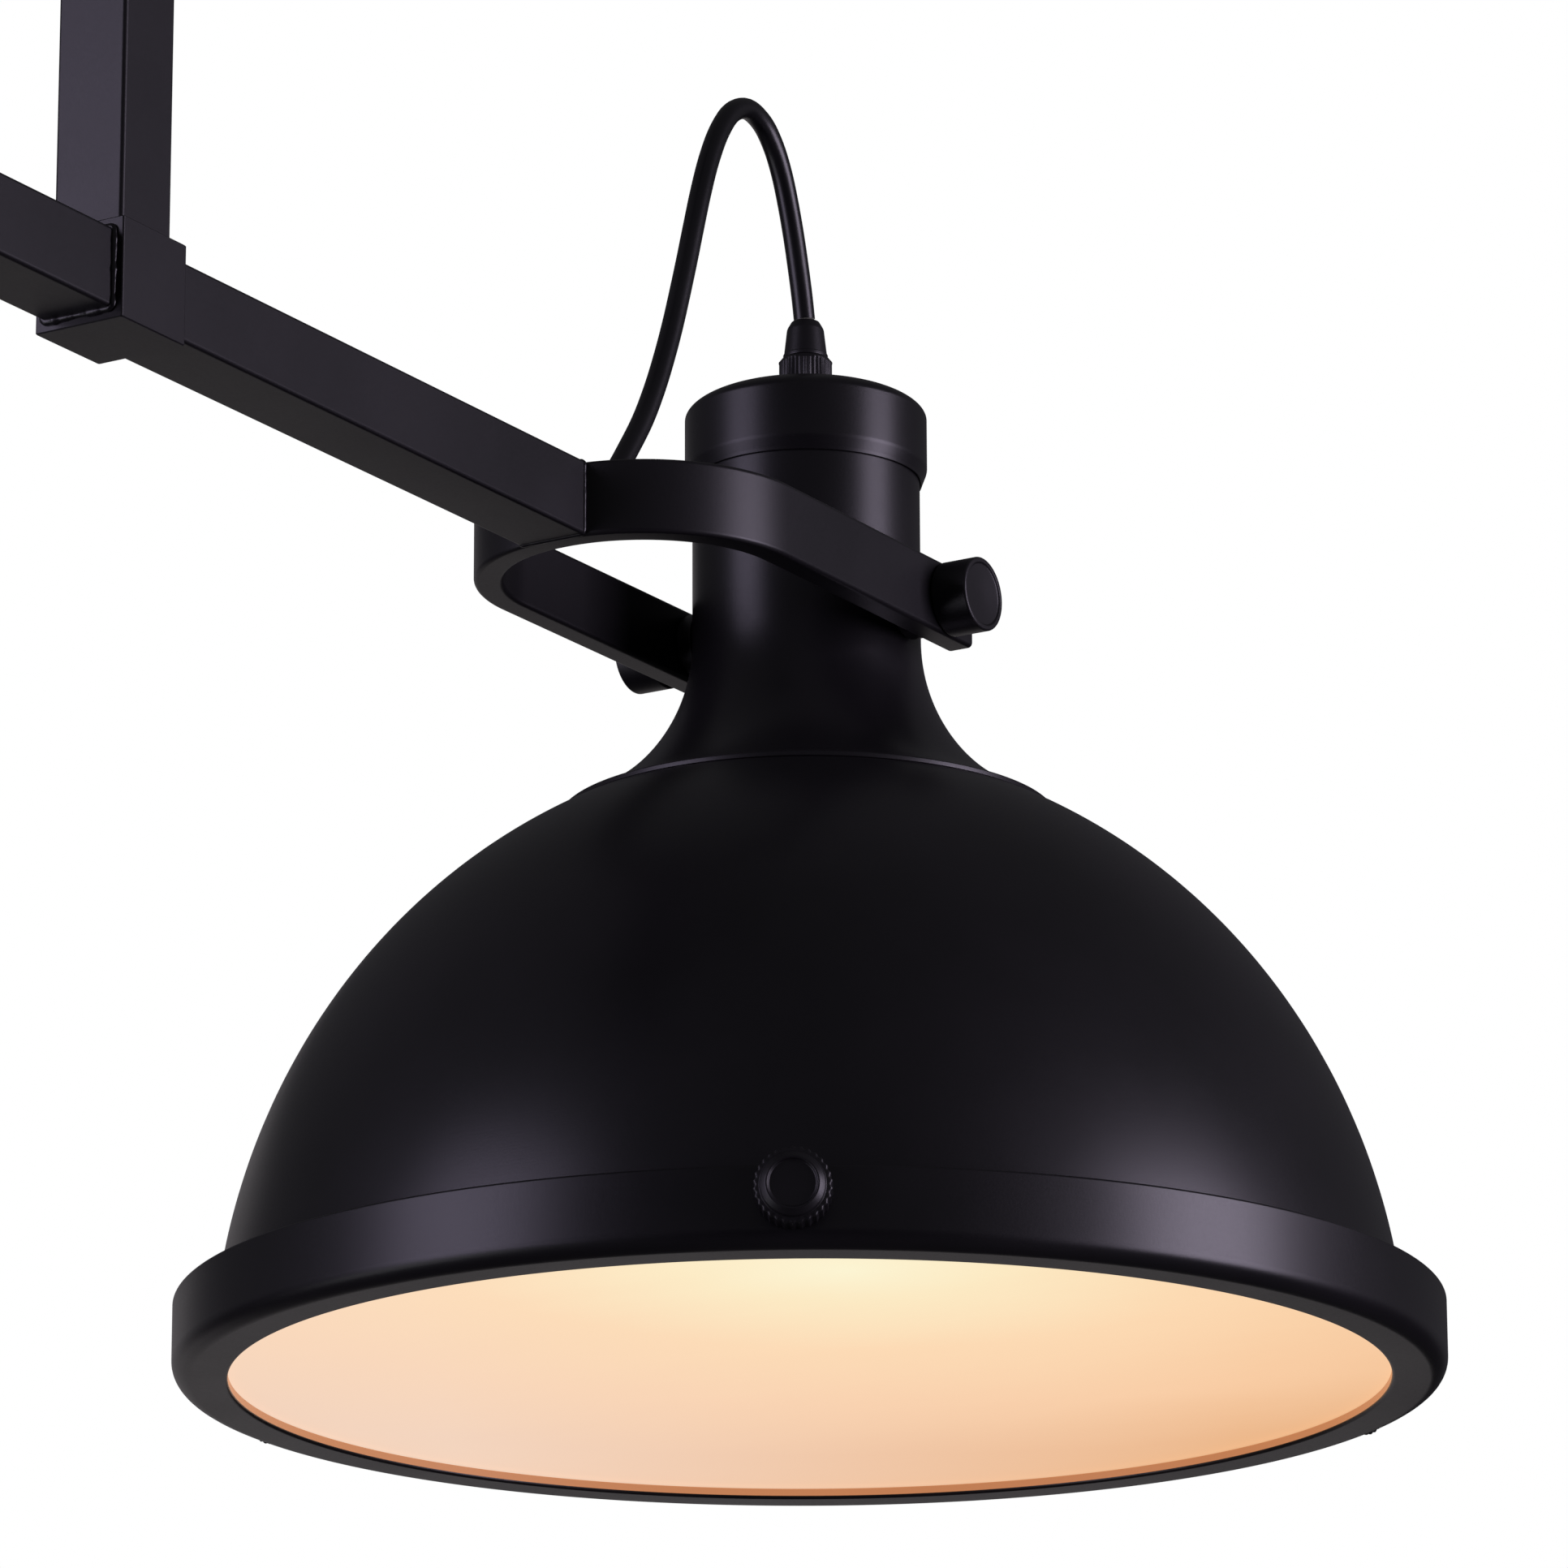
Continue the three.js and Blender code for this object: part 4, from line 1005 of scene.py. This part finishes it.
def add_pivot(side, end, turned):
    """A pivot knob with its stud, and the spacer between yoke and neck."""
    foot, face = YOKE_HALF + GAP, KNOB_FACE
    outline = [(0, STUD_END), (STUD_R - 0.5, STUD_END), (STUD_R, STUD_END + 0.5), (STUD_R, foot)]
    outline += rounded([
        (4, foot), (KNOB_R, foot, 0.5), (KNOB_R, face, 1.3), (8.9, face, 0.35),
        (8.5, face - 0.5, 0.5), (7.2, face - 0.6)], 11)
    outline += [(4.5, face - 0.8), (2.2, face - 0.92), (0, face - 0.95)]
    knob = lathe(f"{side}_{end}_pivot_knob", outline, 96)
    knob.data.transform(ALONG_Y)
    local = Matrix.Rotation(math.pi if turned else 0, 4, "Z")
    place(knob, side, f"{side}_{end}_knob_body", HARD,
          [f"{side}_{end}_knob"], local)

    low, high = NECK_R + 0.9, YOKE_HALF - YOKE_THICK - GAP
    washer = lathe(f"{side}_{end}_pivot_spacer", rounded([
        (STUD_HOLE_R, low, 0.2), (SPACER_R, low, 0.4), (SPACER_R, high, 0.6),
        (STUD_HOLE_R, high, 0.2)]), 64)
    washer.data.transform(ALONG_Y)
    place(washer, side, f"{side}_head", HARD, [f"{side}_{end}_spacer"], local)


# The ends by their own +Y and -Y. The left side is turned half round, so they change places.
KNOB_ENDS = {"right": ("back", "front"), "left": ("front", "back")}

for side in SIDES:
    head = f"{side}_head"
    add_neck(side, head)
    add_gland(side, head)
    add_inside(side, head, f"{side}_bulb")
    add_shade(side, head)
    add_ring(side, f"{side}_ring")
    for number, angle in enumerate(THUMB_ANGLES, 1):
        add_thumb_screw(side, number, angle)
    for end, turned in zip(KNOB_ENDS[side], (False, True)):
        add_pivot(side, end, turned)

# ---------------------------------------------------------------- studio

# What the lights face: the right head
SUBJECT = Vector((HEAD_X, 0, BAR_Z - 0.11))
FLOOR_Z = -2.3
FLOOR_HALF = 40000.0  # in millimetres
FLOOR_COLOUR = (0.12, 0.12, 0.12, 1)
FLOOR_SEEN = (0.90, 0.90, 0.91, 1)
WORLD_DIM = (0.95, 0.93, 1.0, 1)
WORLD_STRENGTH = 0.072
WORLD_SEEN = (1, 1, 1, 1)


def around(azimuth, elevation):
    """A direction from the lamp, by angle from the camera's side towards the right, and upwards."""
    a, e = math.radians(azimuth), math.radians(elevation)
    flat = -ahead_flat * math.cos(a) + right_hand * math.sin(a)
    return flat * math.cos(e) + Vector((0, 0, math.sin(e)))


def add_softbox(name, azimuth, elevation, distance, width, height, radiance, colour):
    """A soft area light that faces the lamp and that the camera doesn't see."""
    data = bpy.data.lights.new(name, "AREA")
    data.shape = "RECTANGLE"
    data.size = width
    data.size_y = height
    data.energy = radiance * width * height * math.pi
    data.color = colour
    light = bpy.data.objects.new(name, data)
    direction = around(azimuth, elevation)
    light.location = SUBJECT + direction * distance
    light.rotation_euler = direction.to_track_quat("Z", "Y").to_euler()
    light.visible_camera = False
    bpy.context.scene.collection.objects.link(light)


# name, azimuth, elevation, distance, width, height, radiance, colour
LIGHTS = (
    ("left_softbox", -62, 4, 2.4, 1.2, 1.9, 2.9, (0.82, 0.73, 1.0)),
    ("right_softbox", 72, 2, 2.4, 1.2, 1.7, 6.3, (0.88, 0.78, 1.0)),
    ("back_panel", -166, -4, 3.6, 3.0, 3.2, 0.28, (1.0, 0.93, 0.95)),
    ("left_low_panel", -75, -26, 2.6, 1.6, 0.7, 0.9, (0.95, 0.95, 1.0)),
)
for light in LIGHTS:
    add_softbox(*light)


def add_world():
    """White to the camera, dim to everything else, so that the black paint stays black."""
    world = bpy.data.worlds.new("studio")
    bpy.context.scene.world = world
    world.use_nodes = True
    nodes, links = world.node_tree.nodes, world.node_tree.links
    nodes.clear()
    out = nodes.new("ShaderNodeOutputWorld")
    mix = nodes.new("ShaderNodeMixShader")
    path = nodes.new("ShaderNodeLightPath")
    dim, white = nodes.new("ShaderNodeBackground"), nodes.new("ShaderNodeBackground")
    dim.inputs["Color"].default_value = WORLD_DIM
    dim.inputs["Strength"].default_value = WORLD_STRENGTH
    white.inputs["Color"].default_value = WORLD_SEEN
    links.new(path.outputs["Is Camera Ray"], mix.inputs["Fac"])
    links.new(dim.outputs[0], mix.inputs[1])
    links.new(white.outputs[0], mix.inputs[2])
    links.new(mix.outputs[0], out.inputs["Surface"])


def add_floor():
    """A pale floor, seen from above only, so that the lamp can also be looked at from below."""
    half = FLOOR_HALF
    corners = [(-half, -half, 0), (half, -half, 0), (half, half, 0), (-half, half, 0)]
    floor = mesh_object("studio_floor", corners, [[0, 1, 2, 3]])
    floor.modifiers.clear()
    floor.location = (0, 0, FLOOR_Z)
    s = Shader("pale_floor", Base_Color=FLOOR_COLOUR, Roughness=0.8)
    s.bump((s.noise(60.0), 0.0001))
    nodes, links = s.nodes, s.links
    pale = nodes.new("ShaderNodeEmission")
    pale.inputs["Color"].default_value = FLOOR_SEEN
    path = nodes.new("ShaderNodeLightPath")
    seen = nodes.new("ShaderNodeMixShader")
    links.new(path.outputs["Is Camera Ray"], seen.inputs["Fac"])
    links.new(s.shader.outputs[0], seen.inputs[1])
    links.new(pale.outputs[0], seen.inputs[2])
    geometry = nodes.new("ShaderNodeNewGeometry")
    clear = nodes.new("ShaderNodeBsdfTransparent")
    mix = nodes.new("ShaderNodeMixShader")
    links.new(geometry.outputs["Backfacing"], mix.inputs["Fac"])
    links.new(seen.outputs[0], mix.inputs[1])
    links.new(clear.outputs[0], mix.inputs[2])
    links.new(mix.outputs[0], nodes["Material Output"].inputs["Surface"])
    floor.data.materials.append(s.material)


add_world()
add_floor()
bpy.context.scene.view_settings.view_transform = "Standard"

bpy.context.view_layer.update()
